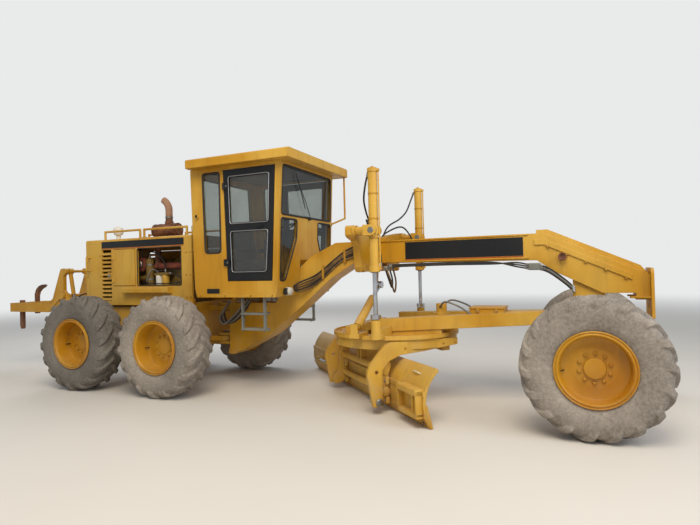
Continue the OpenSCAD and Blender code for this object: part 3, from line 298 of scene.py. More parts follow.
def plate(name: str, outline: Sequence[tuple[float, float]], axis: str, start: float, thickness: float,
          edge: float = 0.003) -> bpy.types.Object:
    """Carries an outline straight through a thickness, with its edges rounded a little.

    Args:
        name: the object's name.
        outline: corners in the plane across the axis, in X, Y, Z order.
        axis: "x", "y" or "z".
        start: where the plate begins on the axis.
        thickness: how far it runs along the axis.
        edge: the radius of its edges.

    Returns:
        The plate.
    """
    o = np.asarray(outline, float)
    n = len(o)
    ends = []
    for h in (start, start + thickness):
        level = np.full(n, h)
        ends.append(np.stack({"x": (level, o[:, 0], o[:, 1]), "y": (o[:, 0], level, o[:, 1]),
                              "z": (o[:, 0], o[:, 1], level)}[axis], -1))
    faces = [list(range(n)), [n + k for k in range(n)][::-1]]
    faces += [[k, (k + 1) % n, n + (k + 1) % n, n + k] for k in range(n)]
    item = tidy_normals(add_mesh(name, np.vstack(ends), faces, smooth=False))
    if edge > 0:
        soften(item, edge)
    return item


def soften(item: bpy.types.Object, radius: float, segments: int = 2) -> bpy.types.Object:
    """Rounds a piece's sharp edges with a bevel."""
    bevel = item.modifiers.new("soft edges", "BEVEL")
    bevel.width = radius
    bevel.segments = segments
    bevel.limit_method = "ANGLE"
    bevel.angle_limit = math.radians(35)
    bevel.harden_normals = True
    item.data.polygons.foreach_set("use_smooth", np.full(len(item.data.polygons), True))
    return item


def joined(name: str, items: Sequence[bpy.types.Object]) -> bpy.types.Object:
    """Puts several pieces into one object and keeps their materials.

    Args:
        name: the new object's name.
        items: pieces at the origin; they are removed.

    Returns:
        The one object.
    """
    graph = bpy.context.evaluated_depsgraph_get()
    data = bmesh.new()
    slots: list[bpy.types.Material] = []
    for item in items:
        mesh = bpy.data.meshes.new_from_object(item.evaluated_get(graph))
        mapping = []
        for m in item.data.materials:
            if m not in slots:
                slots.append(m)
            mapping.append(slots.index(m))
        first = len(data.faces)
        data.from_mesh(mesh)
        data.faces.ensure_lookup_table()
        for f in data.faces[first:]:
            f.material_index = mapping[f.material_index] if mapping else 0
        bpy.data.meshes.remove(mesh)
    mesh = bpy.data.meshes.new(name)
    data.to_mesh(mesh)
    data.free()
    for m in slots:
        mesh.materials.append(m)
    result = link_new(name, mesh)
    for item in items:
        old = item.data
        bpy.data.objects.remove(item)
        bpy.data.meshes.remove(old)
    return result


def ring_cord(name: str, corners: Sequence[Sequence[float]], normal: Sequence[float], corner_radius: float,
              wide: float, deep: float, sides: int = 10) -> bpy.types.Object:
    """Sweeps an oval round a flat closed loop whose corners are rounded.

    A corner is the curve (1-t)^2 a + 2t(1-t) p + t^2 b between points on its two sides.

    Args:
        name: the object's name.
        corners: the loop's corners, in order.
        normal: the direction square to the loop.
        corner_radius: how far from each corner the rounding starts.
        wide: half the cord's width in the loop's plane.
        deep: half the cord's depth along the normal.
        sides: points round the section.

    Returns:
        The cord.
    """
    p = np.asarray(corners, float)
    before, after = np.roll(p, 1, 0) - p, np.roll(p, -1, 0) - p
    a = p + before / np.linalg.norm(before, axis=1, keepdims=True) * corner_radius
    b = p + after / np.linalg.norm(after, axis=1, keepdims=True) * corner_radius
    t = np.linspace(0, 1, 6)[None, :, None]
    path = ((1 - t) ** 2 * a[:, None] + 2 * t * (1 - t) * p[:, None] + t**2 * b[:, None]).reshape(-1, 3)
    tangent = np.roll(path, -1, 0) - np.roll(path, 1, 0)
    tangent /= np.linalg.norm(tangent, axis=1, keepdims=True)
    n = np.asarray(normal, float) / np.linalg.norm(normal)
    across = np.cross(tangent, n)
    angle = np.linspace(0, 2 * math.pi, sides, endpoint=False)[None, :, None]
    ring = path[:, None] + wide * np.cos(angle) * across[:, None] + deep * np.sin(angle) * n
    return tidy_normals(add_mesh(name, ring, grid_faces(len(path), sides, True, True)))


def cushion(name: str, low: Sequence[float], high: Sequence[float], radius: float, crown: float, pinch: float,
            channels: Sequence[float], tilt: float = 0.0, pivot: Sequence[float] = (0, 0, 0)) -> bpy.types.Object:
    """Makes a stuffed cushion: a rounded block whose top and bottom swell and whose sides draw in.

    Height grows by crown (1-x^2)(1-y^2), each side moves in by pinch (1-s^2) along it, and sewn channels press
    the top down by exp(-((y-c)/w)^2). Then it leans back by the tilt about the pivot.

    Args:
        name: the object's name.
        low: lowest corner.
        high: highest corner.
        radius: the edges' radius.
        crown: how far the top swells.
        pinch: how far the sides draw in between the corners.
        channels: places across, from -1 to 1, of the sewn channels.
        tilt: degrees that it leans back.
        pivot: the place that it leans about.

    Returns:
        The cushion.
    """
    lo, hi = np.asarray(low, float), np.asarray(high, float)
    half, mid = (hi - lo) / 2, (hi + lo) / 2
    points_across, channel_depth, channel_width = 29, 0.010, 0.05
    cube, faces = cube_grid(np.linspace(-1, 1, points_across), 1.0)
    cube = cube * half
    core = np.clip(cube, -(half - radius), half - radius)
    push = cube - core
    push /= np.maximum(np.linalg.norm(push, axis=-1, keepdims=True), 1e-9)
    p = core + push * radius
    s = p / half
    rise = crown * np.clip(1 - s[:, 0] ** 2, 0, 1) * np.clip(1 - s[:, 1] ** 2, 0, 1) * np.clip(s[:, 2] * 2, -1, 1)
    for c in channels:
        sewn = np.exp(-(((s[:, 1] - c) / channel_width) ** 2)) * (s[:, 2] > 0.4)
        rise -= channel_depth * sewn * np.clip(1.15 - s[:, 0] ** 2, 0, 1)
    p[:, 2] += rise
    p[:, 0] -= np.sign(p[:, 0]) * pinch * (1 - s[:, 1] ** 2) * np.abs(s[:, 0]) ** 3
    p[:, 1] -= np.sign(p[:, 1]) * pinch * (1 - s[:, 0] ** 2) * np.abs(s[:, 1]) ** 3
    p += mid - np.asarray(pivot)
    c, n = math.cos(math.radians(tilt)), math.sin(math.radians(tilt))
    p = np.stack([p[:, 0] * c - p[:, 2] * n, p[:, 1], p[:, 0] * n + p[:, 2] * c], 1) + np.asarray(pivot)
    return tidy_normals(add_mesh(name, p, faces), MERGE)


# Finishes: what the machine's surfaces are made of


def linear(colour: str) -> tuple[float, float, float, float]:
    """Turns an sRGB hex colour into linear values with full opacity."""
    c = np.array([int(colour[k:k + 2], 16) for k in (1, 3, 5)]) / 255
    lin = np.where(c <= 0.04045, c / 12.92, ((c + 0.055) / 1.055) ** 2.4)
    return (float(lin[0]), float(lin[1]), float(lin[2]), 1.0)


def feed(tree: bpy.types.NodeTree, node: bpy.types.Node, inputs: dict[str | int, Any]) -> bpy.types.Node:
    """Fills a node's inputs.

    Args:
        tree: the node tree.
        node: the node.
        inputs: an output socket, a value or an sRGB hex colour for each named input.

    Returns:
        The node.
    """
    for key, value in inputs.items():
        if isinstance(value, bpy.types.NodeSocket):
            tree.links.new(value, node.inputs[key])
        else:
            node.inputs[key].default_value = linear(value) if isinstance(value, str) else value
    return node


def add_node(tree: bpy.types.NodeTree, kind: str, inputs: dict[str | int, Any] | None = None,
             **settings: Any) -> bpy.types.Node:
    """Adds a shader node.

    Args:
        tree: the node tree.
        kind: the node's type, without its leading ShaderNode.
        inputs: what its inputs get.
        settings: the node's own properties.

    Returns:
        The node.
    """
    node = tree.nodes.new("ShaderNode" + kind)
    for key, value in settings.items():
        setattr(node, key, value)
    return feed(tree, node, inputs or {})


class Graph:
    """A material being built: a Principled shader on its output, and the object's own coordinates."""

    def __init__(self, name: str) -> None:
        """Starts an empty material of that name."""
        self.material = bpy.data.materials.new(name)
        self.material.use_nodes = True
        self.tree = self.material.node_tree
        self.tree.nodes.clear()
        self.shader = self.node("BsdfPrincipled")
        self.output = self.node("OutputMaterial", {"Surface": self.shader.outputs["BSDF"]})
        self.place = self.node("TexCoord").outputs["Object"]

    def node(self, kind: str, inputs: dict[str | int, Any] | None = None, **settings: Any) -> bpy.types.Node:
        """Adds a node to the material."""
        return add_node(self.tree, kind, inputs, **settings)

    def noise(self, size_mm: float, detail: float = 4.0, roughness: float = 0.55,
              place: bpy.types.NodeSocket | None = None) -> bpy.types.NodeSocket:
        """Adds a noise pattern whose blotches are about the given size.

        Args:
            size_mm: the blotches' size.
            detail: how many finer layers it has.
            roughness: how strong the finer layers are.
            place: coordinates in metres, if not the object's own.

        Returns:
            The pattern's value, from 0 to 1.
        """
        where = self.place if place is None else place
        return self.node("TexNoise", {"Vector": where, "Scale": 500.0 / size_mm, "Detail": detail,
                                      "Roughness": roughness}).outputs["Fac"]

    def ramp(self, value: bpy.types.NodeSocket, low: float, high: float, out_low: float = 0.0,
             out_high: float = 1.0) -> bpy.types.NodeSocket:
        """Stretches a value between two levels to two others, smoothly and held at its ends."""
        return self.node("MapRange", {"Value": value, "From Min": low, "From Max": high, "To Min": out_low,
                                      "To Max": out_high}, interpolation_type="SMOOTHSTEP").outputs["Result"]

    def math(self, operation: str, a: Any, b: Any) -> bpy.types.NodeSocket:
        """Joins two values by an operation."""
        return self.node("Math", {0: a, 1: b}, operation=operation).outputs[0]

    def times(self, a: Any, b: Any) -> bpy.types.NodeSocket:
        """Multiplies two values."""
        return self.math("MULTIPLY", a, b)

    def mix(self, factor: Any, a: Any, b: Any) -> bpy.types.NodeSocket:
        """Mixes two colours by a factor."""
        return self.node("Mix", {0: factor, 6: a, 7: b}, data_type="RGBA").outputs[2]

    def height(self) -> bpy.types.NodeSocket:
        """Gives the height above the ground, in metres."""
        return self.node("SeparateXYZ", {"Vector": self.place}).outputs["Z"]

    def bump(self, height: Any, strength: float, distance: float, **more: Any) -> bpy.types.NodeSocket:
        """Adds a bump and gives its normal."""
        return self.node("Bump", {"Height": height, "Strength": strength, "Distance": distance,
                                  **more}).outputs["Normal"]

    def finish(self, inputs: dict[str | int, Any]) -> bpy.types.Material:
        """Fills the shader's inputs and gives the material."""
        feed(self.tree, self.shader, inputs)
        return self.material

    def show(self, shader: bpy.types.Node) -> bpy.types.Material:
        """Puts another shader on the output and gives the material."""
        self.tree.links.new(shader.outputs[0], self.output.inputs["Surface"])
        return self.material


@dataclass(frozen=True)
class WornPaint:
    """Machine enamel brushed and sprayed on rolled steel, faded by the sun, chipped at edges and dusty.

    Old alkyd enamel is satin, its colour is patchy, rust shows where it chipped, and dust lies on ledges.
    """

    name: str
    colour: str
    faded: str
    rust: str = "#5E3420"
    dust: str = "#B39A72"
    streak: str = "#7C5A1E"
    dust_amount: float = 0.55
    chips: float = 0.5
    roughness: float = 0.42
    streaks: float = 0.22

    def build(self) -> bpy.types.Material:
        """Builds the finish: patches 620 mm wide, streaks, chips 16 to 55 mm wide, dust on top faces and low down."""
        g = Graph(self.name)
        normal = g.node("NewGeometry").outputs["Normal"]
        base = g.mix(g.ramp(g.noise(620, 3), 0.38, 0.62), self.colour, self.faded)
        # Rain streaks: noise squeezed sideways, so that it runs down the sides
        stretched = g.node("Mapping", {"Vector": g.place, "Scale": (1.0, 1.0, 0.12)}).outputs["Vector"]
        streaks = g.ramp(g.noise(46, 5, 0.6, stretched), 0.46, 0.72)
        base = g.mix(g.times(streaks, self.streaks), base, self.streak)
        # Edges: the rounded normal leans away from the true one within 9 mm of an edge
        rounded = g.node("Bevel", {"Radius": 0.009}, samples=4).outputs["Normal"]
        lean = g.node("VectorMath", {0: rounded, 1: normal}, operation="DOT_PRODUCT").outputs["Value"]
        worn = g.times(g.ramp(lean, 0.99, 0.86), g.ramp(g.noise(16, 6, 0.65), 0.5, 0.62))
        spots = g.ramp(g.noise(55, 8, 0.72), 0.70 - 0.05 * self.chips, 0.735)
        chipped = g.math("MAXIMUM", g.times(worn, self.chips), g.times(spots, 0.85))
        base = g.mix(chipped, base, self.rust)
        # Dust: on faces that look up, and splashed on what is low
        up = g.node("SeparateXYZ", {"Vector": normal}).outputs["Z"]
        ledge = g.times(g.ramp(up, 0.35, 0.95), g.ramp(g.noise(180, 5), 0.25, 0.65))
        splash = g.times(g.ramp(g.height(), 1.15, 0.15), g.ramp(g.noise(90, 6, 0.65), 0.35, 0.7))
        dusty = g.times(g.math("MAXIMUM", g.times(ledge, 0.7), g.times(splash, 0.75)), self.dust_amount)
        rough = g.math("ADD", g.times(chipped, 0.3), g.math("ADD", g.times(dusty, 0.4), self.roughness))
        # Orange peel of a thick coat, 9 mm across
        peel = g.bump(g.noise(9, 3), 0.06, 0.002, Normal=rounded)
        return g.finish({"Base Color": g.mix(dusty, base, self.dust), "Roughness": rough, "Normal": peel,
                         "Specular IOR Level": 0.4})


@dataclass(frozen=True)
class DustyRubber:
    """Vulcanised tyre rubber, grey with dried dust that lies on lugs and in the grooves."""

    name: str
    colour: str
    dust: str
    amount: float = 0.6
    stain: str = "#5E4E3C"

    def build(self) -> bpy.types.Material:
        """Builds the finish: dust in patches 190 mm wide, grit of 14 mm, stains 70 mm wide, almost no gloss."""
        g = Graph(self.name)
        broad = g.ramp(g.noise(190), 0.3, 0.7, 0.5, 1.0)
        grit = g.ramp(g.noise(14, 5, 0.7), 0.3, 0.75)
        mixed = g.times(g.math("ADD", broad, g.times(grit, 0.6)), self.amount)
        stained = g.ramp(g.noise(70, 8, 0.7), 0.60, 0.78, 0.0, 0.45)
        return g.finish({"Base Color": g.mix(stained, g.mix(mixed, self.colour, self.dust), self.stain),
                         "Normal": g.bump(grit, 0.25, 0.002), "Roughness": 0.86, "Specular IOR Level": 0.3})


@dataclass(frozen=True)
class BareMetal:
    """Uncoated metal: machined, chromed or polished, with fine scratches and a film of oil or dust."""

    name: str
    colour: str
    dirt: str
    roughness: float
    dirt_amount: float = 0.3
    grain_mm: float = 6.0

    def build(self) -> bpy.types.Material:
        """Builds the finish: a metal with dirt in patches 42 mm wide and a grain of the given size."""
        g = Graph(self.name)
        dirt = g.times(g.ramp(g.noise(42, 6, 0.65), 0.42, 0.72), self.dirt_amount)
        grain = g.ramp(g.noise(self.grain_mm), 0.2, 0.8, self.roughness * 0.8, self.roughness * 1.25)
        return g.finish({"Base Color": g.mix(dirt, self.colour, self.dirt),
                         "Roughness": g.math("ADD", g.times(dirt, 0.5), grain),
                         "Metallic": g.ramp(dirt, 0.0, 1.0, 1.0, 0.35)})


@dataclass(frozen=True)
class RustyIron:
    """Hot iron or steel left to rust: a brown crust, rough and dull, that the heat bleaches above a height."""

    name: str
    dark: str
    light: str
    roughness: float = 0.85
    size_mm: float = 60.0
    bleached: str = "#B08A6E"
    bleach_from: float = 9.0

    def build(self) -> bpy.types.Material:
        """Builds the finish: crust patches of the given size and a pitted surface of 6 mm grain."""
        g = Graph(self.name)
        base = g.mix(g.ramp(g.noise(self.size_mm, 8, 0.7), 0.32, 0.68), self.dark, self.light)
        pale = g.times(g.ramp(g.height(), self.bleach_from, self.bleach_from + 0.12), 0.75)
        return g.finish({"Base Color": g.mix(pale, base, self.bleached),
                         "Normal": g.bump(g.noise(6, 6, 0.7), 0.4, 0.002), "Roughness": self.roughness})


@dataclass(frozen=True)
class Moulded:
    """Moulded plastic, hose rubber or vinyl: even colour with a little dust and a fine grain."""

    name: str
    colour: str
    dust: str
    roughness: float
    dust_amount: float = 0.25
    grain_mm: float = 5.0

    def build(self) -> bpy.types.Material:
        """Builds the finish: dust in patches 75 mm wide and a grain of the given size."""
        g = Graph(self.name)
        dust = g.times(g.ramp(g.noise(75, 6, 0.65), 0.35, 0.7), self.dust_amount)
        return g.finish({"Base Color": g.mix(dust, self.colour, self.dust),
                         "Roughness": g.math("ADD", g.times(dust, 0.8), self.roughness),
                         "Normal": g.bump(g.noise(self.grain_mm, 3), 0.12, 0.001)})


@dataclass(frozen=True)
class WindowGlass:
    """Flat tempered glass with a light grey-green tint and a film of dust."""

    name: str
    tint: str = "#E5E8E6"
    dust: str = "#8F8671"
    gloss: float = 0.09

    def build(self) -> bpy.types.Material:
        """Builds the finish: clear glass, with dust of 260 mm patches mixed in as a thin dull coat."""
        g = Graph(self.name)
        film = g.ramp(g.noise(260, 6, 0.6), 0.3, 0.75, 0.02, 0.10)
        clear = g.node("BsdfTransparent", {"Color": self.tint}).outputs[0]
        shine = g.node("BsdfGlossy", {"Roughness": 0.03}).outputs[0]
        dull = g.node("BsdfDiffuse", {"Color": self.dust}).outputs[0]
        pane = g.node("MixShader", {0: self.gloss, 1: clear, 2: shine}).outputs[0]
        g.tree.nodes.remove(g.shader)
        return g.show(g.node("MixShader", {0: film, 1: pane, 2: dull}))


class Finish(Enum):
    """The finishes on the machine."""

    YELLOW = WornPaint("sun-faded yellow enamel", "#BC8610", "#CFA340")
    DEEP_YELLOW = WornPaint("shaded yellow enamel", "#A8740C", "#B98A26", dust_amount=0.6, chips=0.7)
    RIM = WornPaint("orange-yellow wheel enamel", "#B47806", "#C08C1A", dust_amount=0.28, chips=0.35, roughness=0.36)
    BLACK = WornPaint("satin black enamel", "#0F1012", "#1B1B1C", rust="#3B342B", dust_amount=0.3, chips=0.2,
                      roughness=0.36, streaks=0.02)
    GREY = WornPaint("worn grey enamel", "#6E7069", "#85877F", rust="#4A3A2C", dust_amount=0.7, chips=0.9)
    ENGINE = WornPaint("oily engine enamel", "#6B5320", "#7E6630", rust="#2A2119", dust="#5E4E36", chips=1.0,
                       roughness=0.5)
    STRIPE = Moulded("red vinyl stripe", "#A8231C", "#8F6A50", 0.45)
    TYRE = DustyRubber("dusty tyre rubber", "#4A443C", "#ABA195", 0.62)
    TYRE_DARK = DustyRubber("dusty tyre rubber, darker", "#413D38", "#928A80", 0.52)
    HOSE = Moulded("black hose rubber", "#141414", "#5A5145", 0.55, 0.35)
    HOSE_DUSTY = Moulded("clay-dusted hose rubber", "#4A3A28", "#A07C4C", 0.75, 0.7, 8.0)
    HOSE_GREY = Moulded("sun-bleached hose rubber", "#6E6C66", "#9A917F", 0.7, 0.4)
    PLASTIC = Moulded("black moulded plastic", "#131313", "#4E483D", 0.5, 0.25)
    WHITE = Moulded("off-white moulded plastic", "#E6E4DC", "#B7AE98", 0.45, 0.3)
    CREAM = Moulded("pale yellow moulded plastic", "#DCD0AC", "#94825C", 0.5, 0.45)
    ALLOY = BareMetal("anodised trim alloy", "#D6D7D8", "#8C8577", 0.3, 0.2)
    VINYL = Moulded("charcoal seat vinyl", "#2B2B2D", "#6A6256", 0.6, 0.3, 9.0)
    CHROME = BareMetal("chromed steel rod", "#C9CACC", "#6B6255", 0.12, 0.22)
    STEEL = BareMetal("bare machined steel", "#9A9892", "#4E4438", 0.38, 0.5)
    EXHAUST = RustyIron("heat-rusted exhaust steel", "#4A2A1C", "#8A5A40", bleach_from=2.45)
    SHANK = RustyIron("weathered tool steel", "#4B3022", "#86583A", 0.75, 90.0)
    MANIFOLD = RustyIron("burnt manifold iron", "#5A2E22", "#8F4A34", 0.9, 40.0)
    GLASS = WindowGlass("tinted cab glass")
    LAMP = Moulded("clear lamp lens", "#C9C7BC", "#8E8674", 0.2, 0.3)

    def material(self) -> bpy.types.Material:
        """Gives the finish's material, built the first time that it is asked for."""
        return bpy.data.materials.get(self.value.name) or self.value.build()


def dress(item: bpy.types.Object, finish: Finish, body: str | None = None) -> bpy.types.Object:
    """Gives a piece its finish, and the body that it moves with.

    Args:
        item: the piece.
        finish: its finish.
        body: the body's name, or None for a piece that is joined to another later.

    Returns:
        The piece.
    """
    item.data.materials.clear()
    item.data.materials.append(finish.material())
    if body:
        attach(item, body)
        LOG.info("piece %s rides on %s, %d faces", item.name, body, len(item.data.polygons))
    return item


# Wheels: tyres, rims and hubs


def smoothstep(value: Array) -> Array:
    """Holds a value between 0 and 1 and eases both ends: 3v^2 - 2v^3."""
    v = np.clip(value, 0, 1)
    return v * v * (3 - 2 * v)


@dataclass
class Wheel:
    """A traction tyre on a dished rim with its hub and nuts. Sizes in metres."""

    node: str
    centre: Point
    side: float
    lead: float
    worn: float = 0.0
    face: float = 0.0
    rubber: Finish = Finish.TYRE
    radius: float = WHEEL_RADIUS
    lugs: int = 18
    lug_height: float = 0.036
    lug_width: float = 0.032
    lug_flare: float = 0.008
    ring_radius: float = 0.41
    ring_width: float = 0.006
    ring_rise: float = 0.0022
    wear_rise: float = 0.002
    around: int = 648
    plate_rise: float = 0.0045
    nut_count: int = 10
    nut_ring: float = 0.137

    def section(self) -> tuple[Array, Array]:
        """Gives the carcass section: radius and outward place, from the inner bead over the tread to the outer."""
        half = np.array([[0.322, 0.165], [0.335, 0.176], [0.352, 0.182], [0.375, 0.193], [0.405, 0.205],
                         [0.445, 0.2145], [0.49, 0.2195], [0.53, 0.2165], [0.565, 0.2075], [0.590, 0.1945],
                         [0.608, 0.177], [0.620, 0.153], [0.6265, 0.118], [0.630, 0.06], [0.631, 0.0]])
        outer = half[::-1]
        full = np.vstack([half * [1, -1], outer[1:]])
        path = smooth_path(np.c_[full, np.zeros(len(full))], 3)
        return path[:, 0], path[:, 1]

    def lug_mask(self, turn: Array, radius: Array, across: Array) -> Array:
        """Gives the lugs' height from 0 to 1.

        A lug's middle line runs from the tread's middle to the shoulder, swept round the tyre by 15 degrees, and
        the two sides' lugs stand half a pitch apart. Height falls off smoothly at a lug's flanks and ends.
        """
        pitch = 2 * math.pi / self.lugs
        total = np.zeros(np.broadcast(turn, radius).shape)
        for sign in SIDES:
            reach = sign * across
            line = self.lead * (0.30 - 1.62 * np.clip(reach, 0, 0.22)) + sign * 0.25 * pitch
            off = np.abs((turn - line + pitch / 2) % pitch - pitch / 2) * radius
            width = self.lug_width + self.lug_flare * np.clip(reach / 0.2, 0, 1)
            flank = smoothstep((width - off) / 0.008 + 0.5)
            inner = np.clip((reach + 0.004) / 0.014, 0, 1)
            low = smoothstep((radius - 0.548) / 0.03)
            total = np.maximum(total, flank * inner * low * (reach > -0.01))
        return total

    def tyre(self) -> bpy.types.Object:
        """Makes the tyre: carcass radius + lug height along the section's normal, on a grid round the wheel."""
        radius, across = self.section()
        slope_r, slope_y = np.gradient(radius), np.gradient(across)
        size = np.hypot(slope_r, slope_y)
        normal_r, normal_y = slope_y / size, -slope_r / size
        a = np.linspace(0, 2 * math.pi, self.around, endpoint=False)[:, None]
        mask = self.lug_mask(a, radius[None, :], across[None, :])
        height = self.lug_height * (1 - self.worn) * np.clip((radius - 0.53) / 0.09, 0.25, 1)
        rise = mask * height[None, :]
        # A ring round the sidewall, and a little unevenness of a working tyre
        rise = rise + self.ring_rise * np.exp(-(((radius - self.ring_radius) / self.ring_width) ** 2))[None, :]
        rise = rise + self.wear_rise * np.sin(5 * a + 3 * across[None, :] * 9) * mask
        r = np.minimum(radius[None, :] + normal_r[None, :] * rise, self.radius)
        y = across[None, :] + normal_y[None, :] * rise
        points = np.stack([r * np.cos(a), self.side * y, r * np.sin(a)], -1) + np.asarray(self.centre)
        piece = add_mesh(f"tyre_{self.node}", points, grid_faces(self.around, len(radius), True, False))
        tidy_normals(piece)
        return dress(sharp_by_angle(piece, 48), self.rubber)

    def rim(self) -> bpy.types.Object:
        """Makes the rim: flange, gutter and lock ring, barrel, dished disc and the hub's face, turned as one."""
        face, plate_face = self.face, self.face + self.plate_rise
        inner = [(0.0, face - 0.05), (0.16, face - 0.05), (0.27, face - 0.05), (0.296, face - 0.06), (0.300, -0.195)]
        outer = [(0.349, -0.200), (0.354, -0.192), (0.352, -0.180), (0.322, -0.172), (0.318, 0.160), (0.334, 0.176),
                 (0.348, 0.184), (0.3525, 0.192), (0.351, 0.2005), (0.344, 0.205), (0.338, 0.2025), (0.334, 0.195),
                 (0.330, 0.1965), (0.324, 0.2035), (0.316, 0.2045), (0.309, 0.199), (0.3045, 0.188), (0.300, 0.165),
                 (0.297, 0.130)]
        disc = [(0.294, face + 0.020), (0.286, face + 0.002), (0.262, face - 0.006), (0.215, face - 0.004),
                (0.192, face), (0.176, face + 0.004), (0.168, plate_face), (0.0, plate_face)]
        body = revolve(f"rim_{self.node}", inner + outer + disc, self.centre, "y", 96, self.side)
        return dress(body, Finish.RIM)

    def hub(self) -> list[bpy.types.Object]:
        """Makes the hub's cap and its ten nuts on studs."""
        x, y, z = self.centre
        cap_r, cap_h = (0.098, 0.034) if "front" in self.node else (0.112, 0.014)
        face = self.face + self.plate_rise
        section = [(0.0, face + cap_h), (cap_r - 0.018, face + cap_h), (cap_r - 0.004, face + cap_h - 0.005),
                   (cap_r, face + cap_h - 0.013), (cap_r + 0.002, face - 0.002)]
        parts = [dress(revolve("cap", section, self.centre, "y", 48, self.side), Finish.RIM)]
        nut = [(0.0, face + 0.0285), (0.007, face + 0.0285), (0.008, face + 0.0225), (0.0085, face + 0.0185),
               (0.0155, face + 0.0175), (0.0175, face + 0.0135), (0.0175, face + 0.0025), (0.021, face + 0.002),
               (0.021, face - 0.0015)]
        for k in range(self.nut_count):
            a = 2 * math.pi * (k + 0.4) / self.nut_count
            place = (x + self.nut_ring * math.cos(a), y, z + self.nut_ring * math.sin(a))
            parts.append(dress(revolve("nut", nut, place, "y", 6, self.side), Finish.RIM))
        # Valve stem in its slot in the dish
        stem = [(x - back, y + self.side * (face + out), z - 0.03)
                for back, out in ((0.262, -0.02), (0.268, 0.02), (0.285, 0.05))]
        parts.append(dress(tube("stem", smooth_path(stem, 6), 0.0055, 8), Finish.PLASTIC))
        return parts

    def build(self) -> None:
        """Makes the wheel, which stands for its plain CAD node."""
        tyre = self.tyre()
        wheel = joined(f"wheel_dress_{self.node}", [self.rim()] + self.hub())
        for piece in (tyre, wheel):
            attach(piece, self.node)
            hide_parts(self.node)
            LOG.info("piece %s rides on %s, %d faces", piece.name, self.node, len(piece.data.polygons))


@dataclass
class Wheels:
    """The six wheels: the drive wheels' treads point forward, the steered ones' backward. Sizes in metres."""

    wheelbase: float = 5.918
    track: float = 1.025

    def build(self) -> None:
        """Makes all six wheels."""
        for name, x, lead, rubber, worn, face in (("rear", -TANDEM_REACH, 1.0, Finish.TYRE_DARK, 0.0, 0.0),
                                                  ("middle", TANDEM_REACH, 1.0, Finish.TYRE, 0.0, 0.0),
                                                  ("front", self.wheelbase, -1.0, Finish.TYRE, 0.06, 0.070)):
            for word, side in zip(SIDE_WORDS, SIDES):
                centre = at(x, side * self.track, WHEEL_RADIUS)
                Wheel(f"wheel_{name}_{word}", centre, side, lead, worn, face, rubber).build()


# Fittings and trim, one class for each part of the machine


